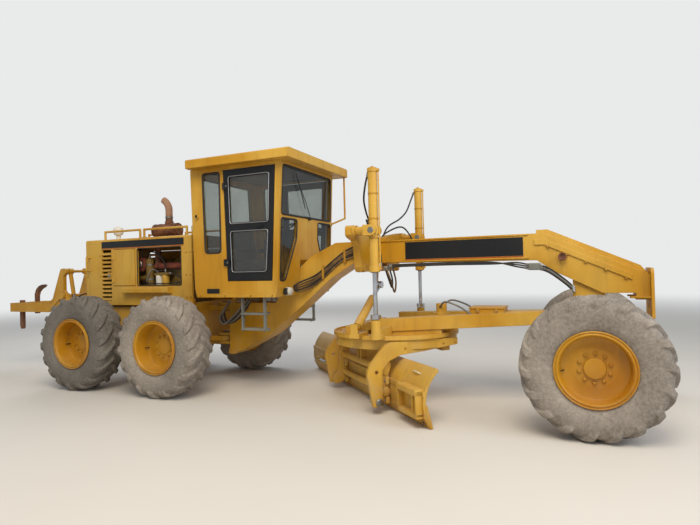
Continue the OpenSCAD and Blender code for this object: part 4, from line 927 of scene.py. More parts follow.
@dataclass
class Fittings:
    """Small pieces that are gathered, joined into one object and ride on one body. Places from the tandem pivot."""

    name: str
    body: str
    parts: list[bpy.types.Object] = field(default_factory=list)

    def add(self, item: bpy.types.Object, finish: Finish) -> bpy.types.Object:
        """Adds a made piece in its finish."""
        self.parts.append(dress(item, finish))
        return item

    def hose(self, points: Sequence[Sequence[float]], radius: float = HOSE_RADIUS, finish: Finish = Finish.HOSE,
             ends: bool = True) -> None:
        """Adds a hose through the places, with a crimped steel fitting at both ends."""
        path = smooth_path(ats(points), 8)
        self.add(tube("hose", path, radius, 12), finish)
        if ends:
            for a, b in ((path[0], path[2]), (path[-1], path[-3])):
                step = (b - a) / np.linalg.norm(b - a)
                line = a + step * np.array([-0.006, 0.0, 0.004, 0.03, 0.034, 0.046])[:, None]
                self.add(tube("fitting", line, radius * np.array([1.1, 1.55, 1.55, 1.5, 1.2, 1.15]), 6), Finish.STEEL)

    def pipe(self, points: Sequence[Sequence[float]], radius: float, finish: Finish, steps: int = 6) -> None:
        """Adds a bent pipe through the places."""
        self.add(tube("pipe", smooth_path(ats(points), steps), radius, 12), finish)

    def turned(self, section: Sequence[tuple[float, float]], place: Sequence[float], axis: str, finish: Finish,
               direction: float = 1.0, segments: int = 32) -> None:
        """Adds a piece turned round an axis."""
        self.add(revolve("turned", section, at(*place), axis, segments, direction), finish)

    def bolt(self, place: Sequence[float], axis: str, size: float = 0.012, direction: float = 1.0,
             finish: Finish = Finish.DEEP_YELLOW) -> None:
        """Adds a hexagon bolt head on its washer."""
        head = [(0.0, size * 0.95), (size * 0.86, size * 0.95), (size, size * 0.78), (size, size * 0.2),
                (size * 1.35, size * 0.19), (size * 1.35, -0.001), (0.0, -0.001)]
        self.turned(head, place, axis, finish, direction, 6)

    def bolt_ring(self, centre: Sequence[float], axis: str, radius: float, count: int, start: float, size: float,
                  direction: float = 1.0) -> None:
        """Adds bolts round a centre, at centre + radius x (cos a, sin a) across the axis.

        Args:
            centre: the ring's middle.
            axis: "y" or "z".
            radius: the ring's radius.
            count: how many bolts.
            start: the first one's angle in degrees.
            size: the bolts' size.
            direction: 1 or -1 along the axis.
        """
        x, y, z = centre
        for a in np.radians(start + 360 / count * np.arange(count)):
            u, v = radius * math.cos(a), radius * math.sin(a)
            self.bolt((x + u, y, z + v) if axis == "y" else (x + u, y + v, z), axis, size, direction)

    def band(self, side: float, half: float, ends: tuple[float, float], black: tuple[float, float],
             red: tuple[float, float]) -> None:
        """Adds a bare black band to a side wall, with a red stripe under it.

        Args:
            side: -1 on the right, 1 on the left.
            half: how far out the wall stands.
            ends: where both start and end, forward.
            black: the band's lower and upper edge.
            red: the stripe's lower and upper edge.
        """
        thick, thin, stripe_edge = 0.003, 0.0025, 0.0008
        y = side * half if side > 0 else side * half - thick
        self.sheet_metal(strip(*ends, *black), "y", y, thick, Finish.BLACK)
        self.sheet_metal(strip(*ends, *red), "y", y, thin, Finish.STRIPE, stripe_edge)

    def rubber(self, points: Iterable[Sequence[float]], normal: Sequence[float], corner: float, wide: float,
               deep: float, finish: Finish = Finish.HOSE) -> None:
        """Adds a cord round a flat loop of places, with rounded corners."""
        self.add(ring_cord("rubber", ats(points), normal, corner, wide, deep), finish)

    def block(self, low: Sequence[float], high: Sequence[float], finish: Finish, radius: float = 0.006) -> None:
        """Adds a block with rounded edges."""
        self.add(rounded_block("block", at(*low), at(*high), radius), finish)

    def sheet_metal(self, outline: Sequence[tuple[float, float]], axis: str, start: float, thickness: float,
                    finish: Finish, edge: float = 0.0012) -> None:
        """Adds a flat plate; the outline is in the plane across the axis."""
        shift = {"x": (ORIGIN_Y, 0.0), "y": (ORIGIN_X, 0.0), "z": (ORIGIN_X, ORIGIN_Y)}[axis]
        base = {"x": ORIGIN_X, "y": ORIGIN_Y, "z": 0.0}[axis]
        points = [(a - shift[0], b - shift[1]) for a, b in outline]
        self.add(plate("sheet", points, axis, start - base, thickness, edge), finish)

    def along_blade(self, outline: Sequence[tuple[float, float]], near: float, far: float, finish: Finish,
                    edge: float = 0.003) -> None:
        """Adds a plate with its outline across the blade (forward, up), swept along it between two places."""
        item = plate("sheet", outline, "y", near, far - near, edge)
        points = np.empty(len(item.data.vertices) * 3)
        item.data.vertices.foreach_get("co", points)
        item.data.vertices.foreach_set("co", np.stack(at(*blade_at(*points.reshape(-1, 3).T)), -1).ravel())
        self.add(item, finish)

    def boss(self, places: Sequence[tuple[float, float, float]], radii: Sequence[float], finish: Finish,
             sides: int = 32) -> None:
        """Adds a round piece or a bolt head through the circle's places (forward, left, up), a radius at each."""
        self.add(tube("boss", np.array([at(*blade_at(*p)) for p in places]), np.array(radii), sides), finish)

    def build(self) -> bpy.types.Object:
        """Joins the pieces into one object that rides on its body."""
        piece = joined(self.name, self.parts)
        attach(piece, self.body)
        LOG.info("piece %s rides on %s, %d faces", piece.name, self.body, len(piece.data.polygons))
        return piece


def strip(x0: float, x1: float, z0: float, z1: float) -> list[tuple[float, float]]:
    """Gives a rectangle's corners."""
    return [(x0, z0), (x1, z0), (x1, z1), (x0, z1)]


def blade_at(t: float, q: float, z: float) -> tuple[float, float, float]:
    """Turns a place on the circle (forward, left, up, before its turn of 45 degrees) into one from the pivot."""
    c = math.sqrt(0.5)
    return (CIRCLE_X + (t - q) * c, (t + q) * c, z)


@dataclass
class HoodDress:
    """The hood's black bands and red pinstripes, its seams' bolts, latches, radiator fins and caps."""

    half: float = 0.500
    fin_z: tuple[float, float, float] = (1.25, 2.05, 0.02)
    fin_half: float = 0.375

    def bands(self) -> None:
        """Makes the band along the top of both sides, bare of any mark, with the stripe under it."""
        kit = Fittings("hood_bands", "rear")
        for s in SIDES:
            kit.band(s, self.half, (-0.96, 0.66), (2.034, 2.134), (2.020, 2.028))
            for x in (-1.27, -0.99, 0.70, 0.77):
                for z in (1.28, 1.60, 1.92):
                    if not (x < -0.9 and z < 1.3):
                        kit.bolt((x, s * self.half, z), "y", 0.009, s)
        kit.build()

    def trims(self) -> None:
        """Makes the open bay's rubber edge, the doors' latches, the radiator's fins and the caps on top."""
        kit = Fittings("hood_trims", "rear")
        kit.rubber([(x, -0.503, z) for x, z in strip(-0.226, 0.606, 1.454, 2.006)], (0, 1, 0), 0.03, 0.007, 0.006)
        for s in SIDES:
            kit.turned([(0, 0.022), (0.016, 0.022), (0.020, 0.016), (0.020, 0.004), (0.028, 0.003), (0.028, -0.002)],
                       (-0.795, s * 0.508, 1.61), "y", Finish.STEEL, s)
            kit.turned([(0, 0.012), (0.012, 0.012), (0.014, 0.009), (0.014, -0.002)], (-0.68, s * 0.5, 1.56), "y",
                       Finish.STEEL, s)
        # Radiator core behind the rear bars: fins as a fine sheet set 20 mm in
        for z in np.arange(*self.fin_z):
            kit.sheet_metal(strip(-self.fin_half, self.fin_half, z, z + 0.004), "x", -1.268, 0.02, Finish.STEEL, 0.0)
        # Filler cap's grip, then the pale mushroom of the air intake
        kit.turned([(0, 0.03), (0.03, 0.03), (0.036, 0.024), (0.036, 0.0)], (-0.70, 0.12, 2.205), "z", Finish.STEEL)
        kit.turned([(0.0, 0.262), (0.050, 0.260), (0.066, 0.250), (0.075, 0.238), (0.077, 0.190), (0.070, 0.160),
                    (0.052, 0.150), (0.034, 0.146), (0.034, 0.09), (0.040, 0.084), (0.040, 0.0)],
                   (0.61, -0.16, 2.080), "z", Finish.CREAM)
        kit.build()

    def build(self) -> None:
        """Makes all of the hood's pieces."""
        self.bands()
        self.trims()


@dataclass
class EngineDress:
    """What shows in the open bay: rusty manifold, pipes, filters, hoses, wires and clamps."""

    manifold_z: float = 1.740
    manifold_y: float = -0.250

    def manifold(self) -> None:
        """Makes the manifold's crust, its flanges with studs, and the turbocharger's two housings."""
        kit = Fittings("manifold_dress", "rear")
        y, z = self.manifold_y, self.manifold_z
        path = np.array(ats([(-0.20 + 0.03 * k, y, z) for k in range(22)]))
        swell = 0.048 + 0.006 * np.sin(np.linspace(0, 11 * math.pi, len(path))) ** 2
        kit.add(tube("manifold", path, swell, 24), Finish.MANIFOLD)
        for k in range(6):
            x = -0.21 + 0.126 * k
            kit.pipe([(x, y + 0.005, z), (x, y + 0.04, z - 0.004), (x, y + 0.072, z - 0.012)], 0.035, Finish.MANIFOLD)
            kit.block((x - 0.045, -0.196, z - 0.048), (x + 0.045, -0.178, z + 0.032), Finish.MANIFOLD, 0.004)
            for sign in SIDES:
                kit.bolt((x + sign * 0.036, -0.196, z - 0.008 + sign * 0.028), "y", 0.008, -1, Finish.EXHAUST)
        centre = (-0.305, y - 0.075, z + 0.03)
        scroll = [(0.0, -0.075), (0.042, -0.070), (0.048, -0.045), (0.098, -0.040), (0.112, -0.02), (0.114, 0.01),
                  (0.104, 0.036), (0.05, 0.046), (0.046, 0.10), (0.0, 0.10)]
        kit.turned(scroll, centre, "y", Finish.MANIFOLD, 1.0, 48)
        kit.turned([(0.03, 0.0), (0.060, 0.0), (0.062, 0.012), (0.052, 0.02), (0.052, 0.05), (0.058, 0.052),
                    (0.058, 0.064), (0.03, 0.066)], (centre[0], centre[1] - 0.06, centre[2]), "y", Finish.STEEL, -1.0)
        kit.pipe([(-0.06, y, z + 0.03), (-0.06, y, z + 0.2), (-0.06, y, 2.16)], 0.046, Finish.EXHAUST)
        kit.turned([(0.05, 0.0), (0.066, 0.0), (0.066, 0.014), (0.05, 0.014)], (-0.06, y, z + 0.12), "z",
                   Finish.EXHAUST, 1.0)
        kit.build()

    def filters(self) -> None:
        """Makes the spin-on filters with their ribs, the upright tank's bands and the alternator's pulley."""
        kit = Fittings("engine_filters", "rear")
        for x, finish in ((0.010, Finish.WHITE), (0.130, Finish.YELLOW)):
            can = [(0.0, 0.0), (0.030, 0.001), (0.044, 0.006), (0.0535, 0.016), (0.0545, 0.03), (0.0545, 0.130),
                   (0.0555, 0.140), (0.0545, 0.150), (0.052, 0.158), (0.04, 0.162)]
            kit.turned(can, (x, -0.300, 1.438), "z", finish, 1.0, 40)
        for z in (1.53, 1.75):
            kit.turned([(0.0595, 0.0), (0.0625, 0.002), (0.0625, 0.022), (0.0595, 0.024)], (-0.15, -0.325, z), "z",
                       Finish.STEEL, 1.0, 40)
        pulley = [(0.0, 0.03), (0.03, 0.03), (0.034, 0.024), (0.05, 0.022), (0.058, 0.016), (0.046, 0.010),
                  (0.058, 0.004), (0.05, -0.004), (0.0, -0.006)]
        kit.turned(pulley, (-0.655, -0.29, 1.56), "x", Finish.STEEL, -1.0, 40)
        for s in SIDES:
            kit.bolt((-0.15 + 0.05 * s, -0.39, 1.442), "y", 0.009, -1, Finish.STEEL)
        kit.build()

    def lines(self) -> None:
        """Makes injection pipes, coolant and fuel hoses, a wire loom with its clips and the rocker covers' nuts."""
        kit = Fittings("engine_lines", "rear")
        for k in range(6):
            x = -0.36 + 0.046 * k
            end = -0.46 + 0.155 * k
            kit.pipe([(x, -0.262, 1.60), (x, -0.27, 1.655), ((x + end) / 2, -0.235, 1.672), (end, -0.190, 1.668),
                      (end, -0.176, 1.64)], 0.0042, Finish.STEEL, 7)
        kit.hose([(-0.15, -0.325, 1.868), (-0.13, -0.36, 1.95), (0.02, -0.36, 1.93), (0.11, -0.31, 1.80),
                  (0.13, -0.30, 1.645)])
        kit.hose([(0.01, -0.33, 1.645), (-0.02, -0.40, 1.69), (-0.10, -0.41, 1.62), (-0.16, -0.39, 1.50),
                  (-0.22, -0.30, 1.47)], 0.009, Finish.HOSE_GREY)
        kit.hose([(0.52, -0.24, 1.40), (0.50, -0.33, 1.52), (0.40, -0.36, 1.60), (0.24, -0.34, 1.63)], 0.013)
        kit.hose([(0.56, -0.15, 1.44), (0.50, -0.27, 1.66), (0.46, -0.32, 1.84), (0.50, -0.34, 2.02)], 0.016)
        kit.hose([(-0.36, -0.33, 1.77), (-0.45, -0.36, 1.86), (-0.50, -0.30, 1.98), (-0.50, -0.16, 2.04)], 0.030,
                 Finish.HOSE, False)
        kit.pipe([(-0.22, -0.40, 1.50), (0.05, -0.405, 1.475), (0.30, -0.40, 1.48), (0.58, -0.41, 1.50)], 0.008,
                 Finish.PLASTIC, 8)
        for x in (-0.1, 0.15, 0.42):
            kit.turned([(0.008, -0.006), (0.0115, -0.005), (0.0115, 0.005), (0.008, 0.006)], (x, -0.404, 1.477), "x",
                       Finish.STEEL, 1.0, 16)
        for x in (-0.42, -0.08, 0.26):
            for dx in (-0.11, 0.09):
                kit.turned([(0, 0.022), (0.012, 0.022), (0.014, 0.016), (0.014, 0.0)], (x + dx, 0.0, 1.862), "z",
                           Finish.STEEL, 1.0, 6)
        kit.build()

    def stack(self) -> None:
        """Makes the muffler's end seams, straps and clamp, and the pipe's rolled mouth."""
        kit = Fittings("exhaust_dress", "rear")
        for x in (-0.331, 0.117):
            kit.turned([(0.100, -0.004), (0.107, -0.003), (0.1095, 0.002), (0.107, 0.007), (0.100, 0.008)],
                       (x, 0.0, 2.30), "x", Finish.EXHAUST, 1.0, 56)
        for x in (-0.222, 0.038):
            kit.bolt((x, 0.112, 2.31), "y", 0.008, 1, Finish.EXHAUST)
        kit.turned([(0.054, -0.012), (0.060, -0.011), (0.060, 0.011), (0.054, 0.012)], (-0.06, 0.0, 2.50), "z",
                   Finish.STEEL, 1.0, 40)
        kit.build()

    def build(self) -> None:
        """Makes all of the engine's pieces."""
        self.manifold()
        self.filters()
        self.lines()
        self.stack()


@dataclass
class CabDress:
    """The cab's window rubbers, door panes, wiper, seat, trim and outside fittings."""

    half: float = 0.750
    sill_z: float = 1.410
    front_x: float = 2.360
    front_lean: float = 0.050
    rear_x: float = 1.0615
    rear_lean: float = 0.028
    low_door: tuple = ((1.680, 1.620), (2.200, 1.620), (2.240, 2.150), (1.665, 2.150))
    high_door: tuple = ((1.662, 2.250), (2.247, 2.250), (2.272, 2.870), (1.645, 2.870))
    side_window: tuple = ((1.250, 1.880), (1.500, 1.880), (1.500, 2.940), (1.222, 2.940))
    windshield: tuple = ((-0.700, 2.340), (0.700, 2.340), (0.682, 2.965), (-0.682, 2.965))
    low_pane: tuple = ((0.300, 2.290), (0.700, 2.290), (0.700, 1.500), (0.575, 1.500), (0.302, 2.052))
    rear_pane: tuple = ((-0.620, 1.900), (0.620, 1.900), (0.600, 2.920), (-0.600, 2.920))

    def front(self, y: float, z: float, out: float = 0.0) -> tuple[float, float, float]:
        """Gives a place on the leaning front wall: x = front + lean (z - sill) + out."""
        return (self.front_x + self.front_lean * (z - self.sill_z) + out, y, z)

    def windows(self) -> None:
        """Makes the rubbers of the fixed windows."""
        kit = Fittings("window_rubbers", "front")
        leaning = (1, 0, -self.front_lean)
        for s in SIDES:
            kit.rubber([(x, s * (self.half + 0.001), z) for x, z in self.side_window], (0, 1, 0), 0.05, 0.013, 0.008)
            kit.rubber([self.front(s * y, z, 0.001) for y, z in self.low_pane], leaning, 0.04, 0.013, 0.008)
        kit.rubber([self.front(y, z, 0.001) for y, z in self.windshield], leaning, 0.05, 0.014, 0.009)
        kit.rubber([(self.rear_x - self.rear_lean * (z - self.sill_z), y, z) for y, z in self.rear_pane], (1, 0, 0),
                   0.05, 0.013, 0.012)
        kit.build()

    def doors(self) -> None:
        """Makes the rubbers and bright trims round both doors' panes, and the hinge pins' caps."""
        for word, s in zip(SIDE_WORDS, SIDES):
            kit = Fittings(f"door_rubbers_{word}", f"cab_door_{word}")
            for outline in (self.low_door, self.high_door):
                seal, trim = ([(x, s * (self.half + out), z) for x, z in outline] for out in (0.004, 0.008))
                kit.rubber(seal, (0, 1, 0), 0.035, 0.012, 0.005)
                kit.rubber(trim, (0, 1, 0), 0.035, 0.0035, 0.003, Finish.ALLOY)
            for z in (1.745, 2.745):
                kit.turned([(0, 0.006), (0.010, 0.006), (0.0125, 0.002), (0.0125, -0.001)], (1.62, s * 0.7705, z),
                           "y", Finish.STEEL, s, 12)
            kit.build()

    def wiper(self) -> None:
        """Makes the windshield's wiper: pivot, arm and blade."""
        kit = Fittings("wiper", "front")
        kit.pipe([self.front(0.02, 2.325, 0.03), self.front(-0.10, 2.50, 0.035), self.front(-0.24, 2.69, 0.022)],
                 0.005, Finish.PLASTIC)
        kit.pipe([self.front(-0.10, 2.46, 0.012), self.front(-0.24, 2.69, 0.013), self.front(-0.38, 2.91, 0.012)],
                 0.006, Finish.PLASTIC)
        kit.turned([(0, 0.045), (0.012, 0.045), (0.016, 0.036), (0.018, 0.0)], self.front(0.02, 2.322, 0.0), "x",
                   Finish.PLASTIC)
        kit.build()

    def trim(self) -> None:
        """Makes the bare black plate, the low lamp in its boot, the roof's drip rail, the doors' stops and bolts."""
        kit = Fittings("cab_trim", "front")
        kit.sheet_metal(strip(1.27, 1.47, 1.345, 1.405), "y", -self.half - 0.012, 0.005, Finish.BLACK)
        kit.block((2.338, -0.60, 1.315), (2.40, -0.46, 1.40), Finish.PLASTIC, 0.015)
        kit.turned([(0, 0.052), (0.03, 0.050), (0.045, 0.040), (0.052, 0.02), (0.052, -0.03)], (2.39, -0.53, 1.357),
                   "x", Finish.LAMP, 1.0, 32)
        kit.rubber([(x, y, 3.012) for x, y in strip(1.056, 2.619, -0.880, 0.880)], (0, 0, 1), 0.04, 0.009, 0.007,
                   Finish.DEEP_YELLOW)
        for s in SIDES:
            kit.block((1.115, s * 0.778 - 0.012, 2.362), (1.145, s * 0.778 + 0.012, 2.398), Finish.PLASTIC, 0.006)
            for x in (1.16, 1.56, 1.96, 2.28):
                kit.bolt((x, s * 0.758, 1.312), "y", 0.009, s)
            for x in (1.14, 2.36):
                kit.bolt((x, s * 0.82, 3.009), "z", 0.010, -1)
        kit.build()

    def seat(self) -> None:
        """Makes the seat: two cushions on a pan, with a bellows, armrests and a back shell."""
        base = cushion("seat_cushion", at(1.345, -0.245, 1.655), at(1.805, 0.245, 1.765), 0.045, 0.022, 0.010,
                       (-0.45, 0.45))
        pivot = at(1.385, 0.0, 1.75)
        back = cushion("seat_back", (pivot[0] - 0.05, pivot[1] - 0.23, pivot[2] + 0.01),
                       (pivot[0] + 0.055, pivot[1] + 0.23, pivot[2] + 0.56), 0.046, 0.012, 0.012, (), 9.0, pivot)
        for piece in (base, back):
            dress(piece, Finish.VINYL, "front")
            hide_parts("seat")
        kit = Fittings("seat_frame", "front")
        kit.block((1.37, -0.21, 1.60), (1.78, 0.21, 1.662), Finish.PLASTIC, 0.012)
        fold = [(0.13 + 0.018 * math.sin(k * math.pi / 2), 0.01 * k) for k in range(25)]
        kit.turned([(0.0, 0.0)] + fold + [(0.0, 0.24)], (1.565, 0.0, 1.358), "z", Finish.HOSE, 1.0, 40)
        kit.block((1.30, -0.20, 1.72), (1.345, 0.20, 2.22), Finish.PLASTIC, 0.02)
        for s in SIDES:
            y = s * 0.296
            kit.add(cushion("arm", at(1.40, y - 0.032, 1.905), at(1.71, y + 0.032, 1.95), 0.02, 0.004, 0.002, ()),
                    Finish.VINYL)
            kit.pipe([(1.34, s * 0.235, 1.90), (1.37, s * 0.28, 1.915), (1.45, y, 1.915)], 0.012, Finish.STEEL)
        frame = kit.build()
        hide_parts("seat")

    def inside(self) -> None:
        """Makes the floor mat, the headliner and the consoles' gaiters."""
        kit = Fittings("cab_inside", "front")
        kit.block((1.15, -0.66, 1.351), (1.95, 0.66, 1.358), Finish.HOSE, 0.003)
        kit.block((1.13, -0.665, 2.985), (2.36, 0.665, 3.03), Finish.VINYL, 0.012)
        for s in SIDES:
            fold = [(0.050 - 0.002 * k + 0.006 * (k % 2), 0.012 * k) for k in range(5)]
            kit.turned(fold + [(0.0, 0.05)], (1.99, s * 0.295, 2.049), "z", Finish.HOSE, 1.0, 24)
        kit.build()

    def build(self) -> None:
        """Makes all of the cab's pieces."""
        self.windows()
        self.doors()
        self.wiper()
        self.trim()
        self.seat()
        self.inside()


@dataclass
class FrontDress:
    """The beam's bare black panels, the neck's hoses, the lift cylinders' trim, nose fittings and hitch hoses."""

    beam_half: float = 0.170
    lift_x: float = 3.720
    lift_y: float = 0.900

    def panels(self) -> None:
        """Makes the black panels on the beam's sides, bare of any mark, with a red stripe under each."""
        kit = Fittings("beam_panels", "front")
        for s in SIDES:
            kit.band(s, self.beam_half, (3.85, 5.24), (1.725, 1.935), (1.713, 1.720))
        kit.build()

    def bundle(self) -> None:
        """Makes the hoses that run from the cab's front along the neck to the saddle, and their clamps."""
        kit = Fittings("neck_hoses", "front")
        for k in range(5):
            rise = 0.030 * k
            kit.hose([(2.30, -0.30 - 0.03 * k, 1.36), (2.42, -0.26 - 0.01 * k, 1.34 + rise),
                      (2.62, -0.186, 1.44 + rise), (2.95, -0.182, 1.70 + rise * 0.8), (3.10, -0.192, 1.76 + rise),
                      (3.24, -0.212, 1.80 + rise), (3.34, -0.252, 1.83 + rise)], 0.0115,
                     (Finish.HOSE_DUSTY, Finish.HOSE, Finish.HOSE_DUSTY)[k % 3])
        for x, z in ((2.70, 1.50), (3.02, 1.70)):
            kit.block((x, -0.200, z), (x + 0.03, -0.168, z + 0.18), Finish.DEEP_YELLOW, 0.004)
        for s in SIDES:
            # One hose goes to the lift barrel's foot, the other to its head
            kit.hose([(3.36, s * 0.19, 1.985), (3.44, s * 0.34, 2.11), (3.55, s * 0.68, 2.19), (3.68, s * 0.78, 1.98),
                      (3.765, s * 0.82, 1.78), (3.775, s * 0.842, 1.64)])
            kit.hose([(3.40, s * 0.19, 1.985), (3.45, s * 0.34, 2.18), (3.52, s * 0.62, 2.30), (3.57, s * 0.80, 2.42),
                      (3.62, s * 0.865, 2.58), (3.664, s * 0.885, 2.70)])
        kit.hose([(3.58, -0.02, 1.63), (3.63, -0.05, 1.48), (3.65, -0.13, 1.38), (3.64, -0.21, 1.48),
                  (3.60, -0.24, 1.64)])
        kit.hose([(3.62, 0.01, 1.63), (3.67, -0.03, 1.45), (3.68, -0.12, 1.32), (3.67, -0.22, 1.46),
                  (3.62, -0.25, 1.64)], finish=Finish.HOSE_DUSTY)
        kit.build()

    def cylinders(self) -> None:
        """Makes the lift cylinders' gland nuts, bands, top bolts and trunnions' caps."""
        for s, word in zip(SIDES, SIDE_WORDS):
            kit = Fittings(f"lift_trim_{word}", "front")
            x, y = self.lift_x, s * self.lift_y
            kit.turned([(0.026, -0.014), (0.034, -0.014), (0.040, -0.006), (0.058, -0.004), (0.060, 0.004)],
                       (x, y, 1.584), "z", Finish.STEEL, 1.0, 48)
            for z in (1.95, 2.17, 2.45):
                kit.turned([(0.0525, 0.0), (0.0560, 0.002), (0.0560, 0.020), (0.0525, 0.022)], (x, y, z), "z",
                           Finish.DEEP_YELLOW, 1.0, 48)
            kit.bolt((x, y, 2.749), "z", 0.020)
            for t in SIDES:
                kit.turned([(0, 0.008), (0.030, 0.008), (0.034, 0.004), (0.034, -0.001)], (x, y + t * 0.1, 2.05),
                           "y", Finish.STEEL, t)
            kit.build()

    def nose(self) -> None:
        """Makes the seam plates' bolts, the valve block with hoses under the nose, and the horn's mouth."""
        kit = Fittings("nose_fittings", "front")
        for s in SIDES:
            for k in range(5):
                x = 5.50 + 0.19 * k
                z = 1.812 - 0.0890 * k
                kit.bolt((x, s * (self.beam_half + 0.015), z), "y", 0.012, s)
        kit.turned([(0.0, 0.004), (0.018, 0.006), (0.026, 0.016), (0.040, 0.020), (0.044, 0.010), (0.042, -0.012)],
                   (5.648, -0.216, 1.70), "y", Finish.EXHAUST, -1.0, 40)
        kit.block((5.30, -0.235, 1.56), (5.42, -0.165, 1.64), Finish.GREY, 0.01)
        for k in range(3):
            z = 1.575 + 0.022 * k
            kit.hose([(5.41, -0.20 - 0.01 * k, z), (5.52, -0.24, z - 0.05), (5.66, -0.22, z - 0.16),
                      (5.76, -0.16, z - 0.26)], 0.010, (Finish.HOSE, Finish.HOSE_GREY, Finish.HOSE)[k])
            kit.hose([(5.31, -0.20 - 0.01 * k, z), (5.16, -0.205, z + 0.03), (4.9, -0.178, 1.66 - 0.01 * k),
                      (4.4, -0.176, 1.668 - 0.012 * k), (3.9, -0.178, 1.664 - 0.012 * k),
                      (3.64, -0.20, 1.66 - 0.012 * k)], 0.009)
        for y in (-0.19, 0.19):
            for z in (1.10, 1.50):
                kit.turned([(0.0135, 0.0), (0.024, 0.0), (0.024, 0.004), (0.0135, 0.004)], (6.51, y, z), "x",
                           Finish.STEEL, 1.0, 24)
        kit.build()

    def hitch(self) -> None:
        """Makes the hoses that cross beside the hitch in front of its pin, on the front half."""
        kit = Fittings("hitch_hoses", "front")
        for k in range(4):
            y = -0.20 - 0.035 * k
            kit.hose([(1.22 + 0.02 * k, y, 1.20), (1.16, y - 0.06, 1.05 - 0.02 * k), (1.25, y - 0.08, 0.90),
                      (1.42, y - 0.05, 0.98 + 0.02 * k), (1.60, y, 1.24)], 0.012,
                     (Finish.HOSE, Finish.HOSE_GREY)[k % 2], False)
        for z in (0.56, 0.75, 1.01, 1.19):
            kit.turned([(0.0, 0.006), (0.055, 0.006), (0.062, 0.0)], (1.0, 0.0, z), "z", Finish.STEEL, 1.0)
        kit.build()

    def build(self) -> None:
        """Makes all of the front half's pieces."""
        self.panels()
        self.bundle()
        self.cylinders()
        self.nose()
        self.hitch()


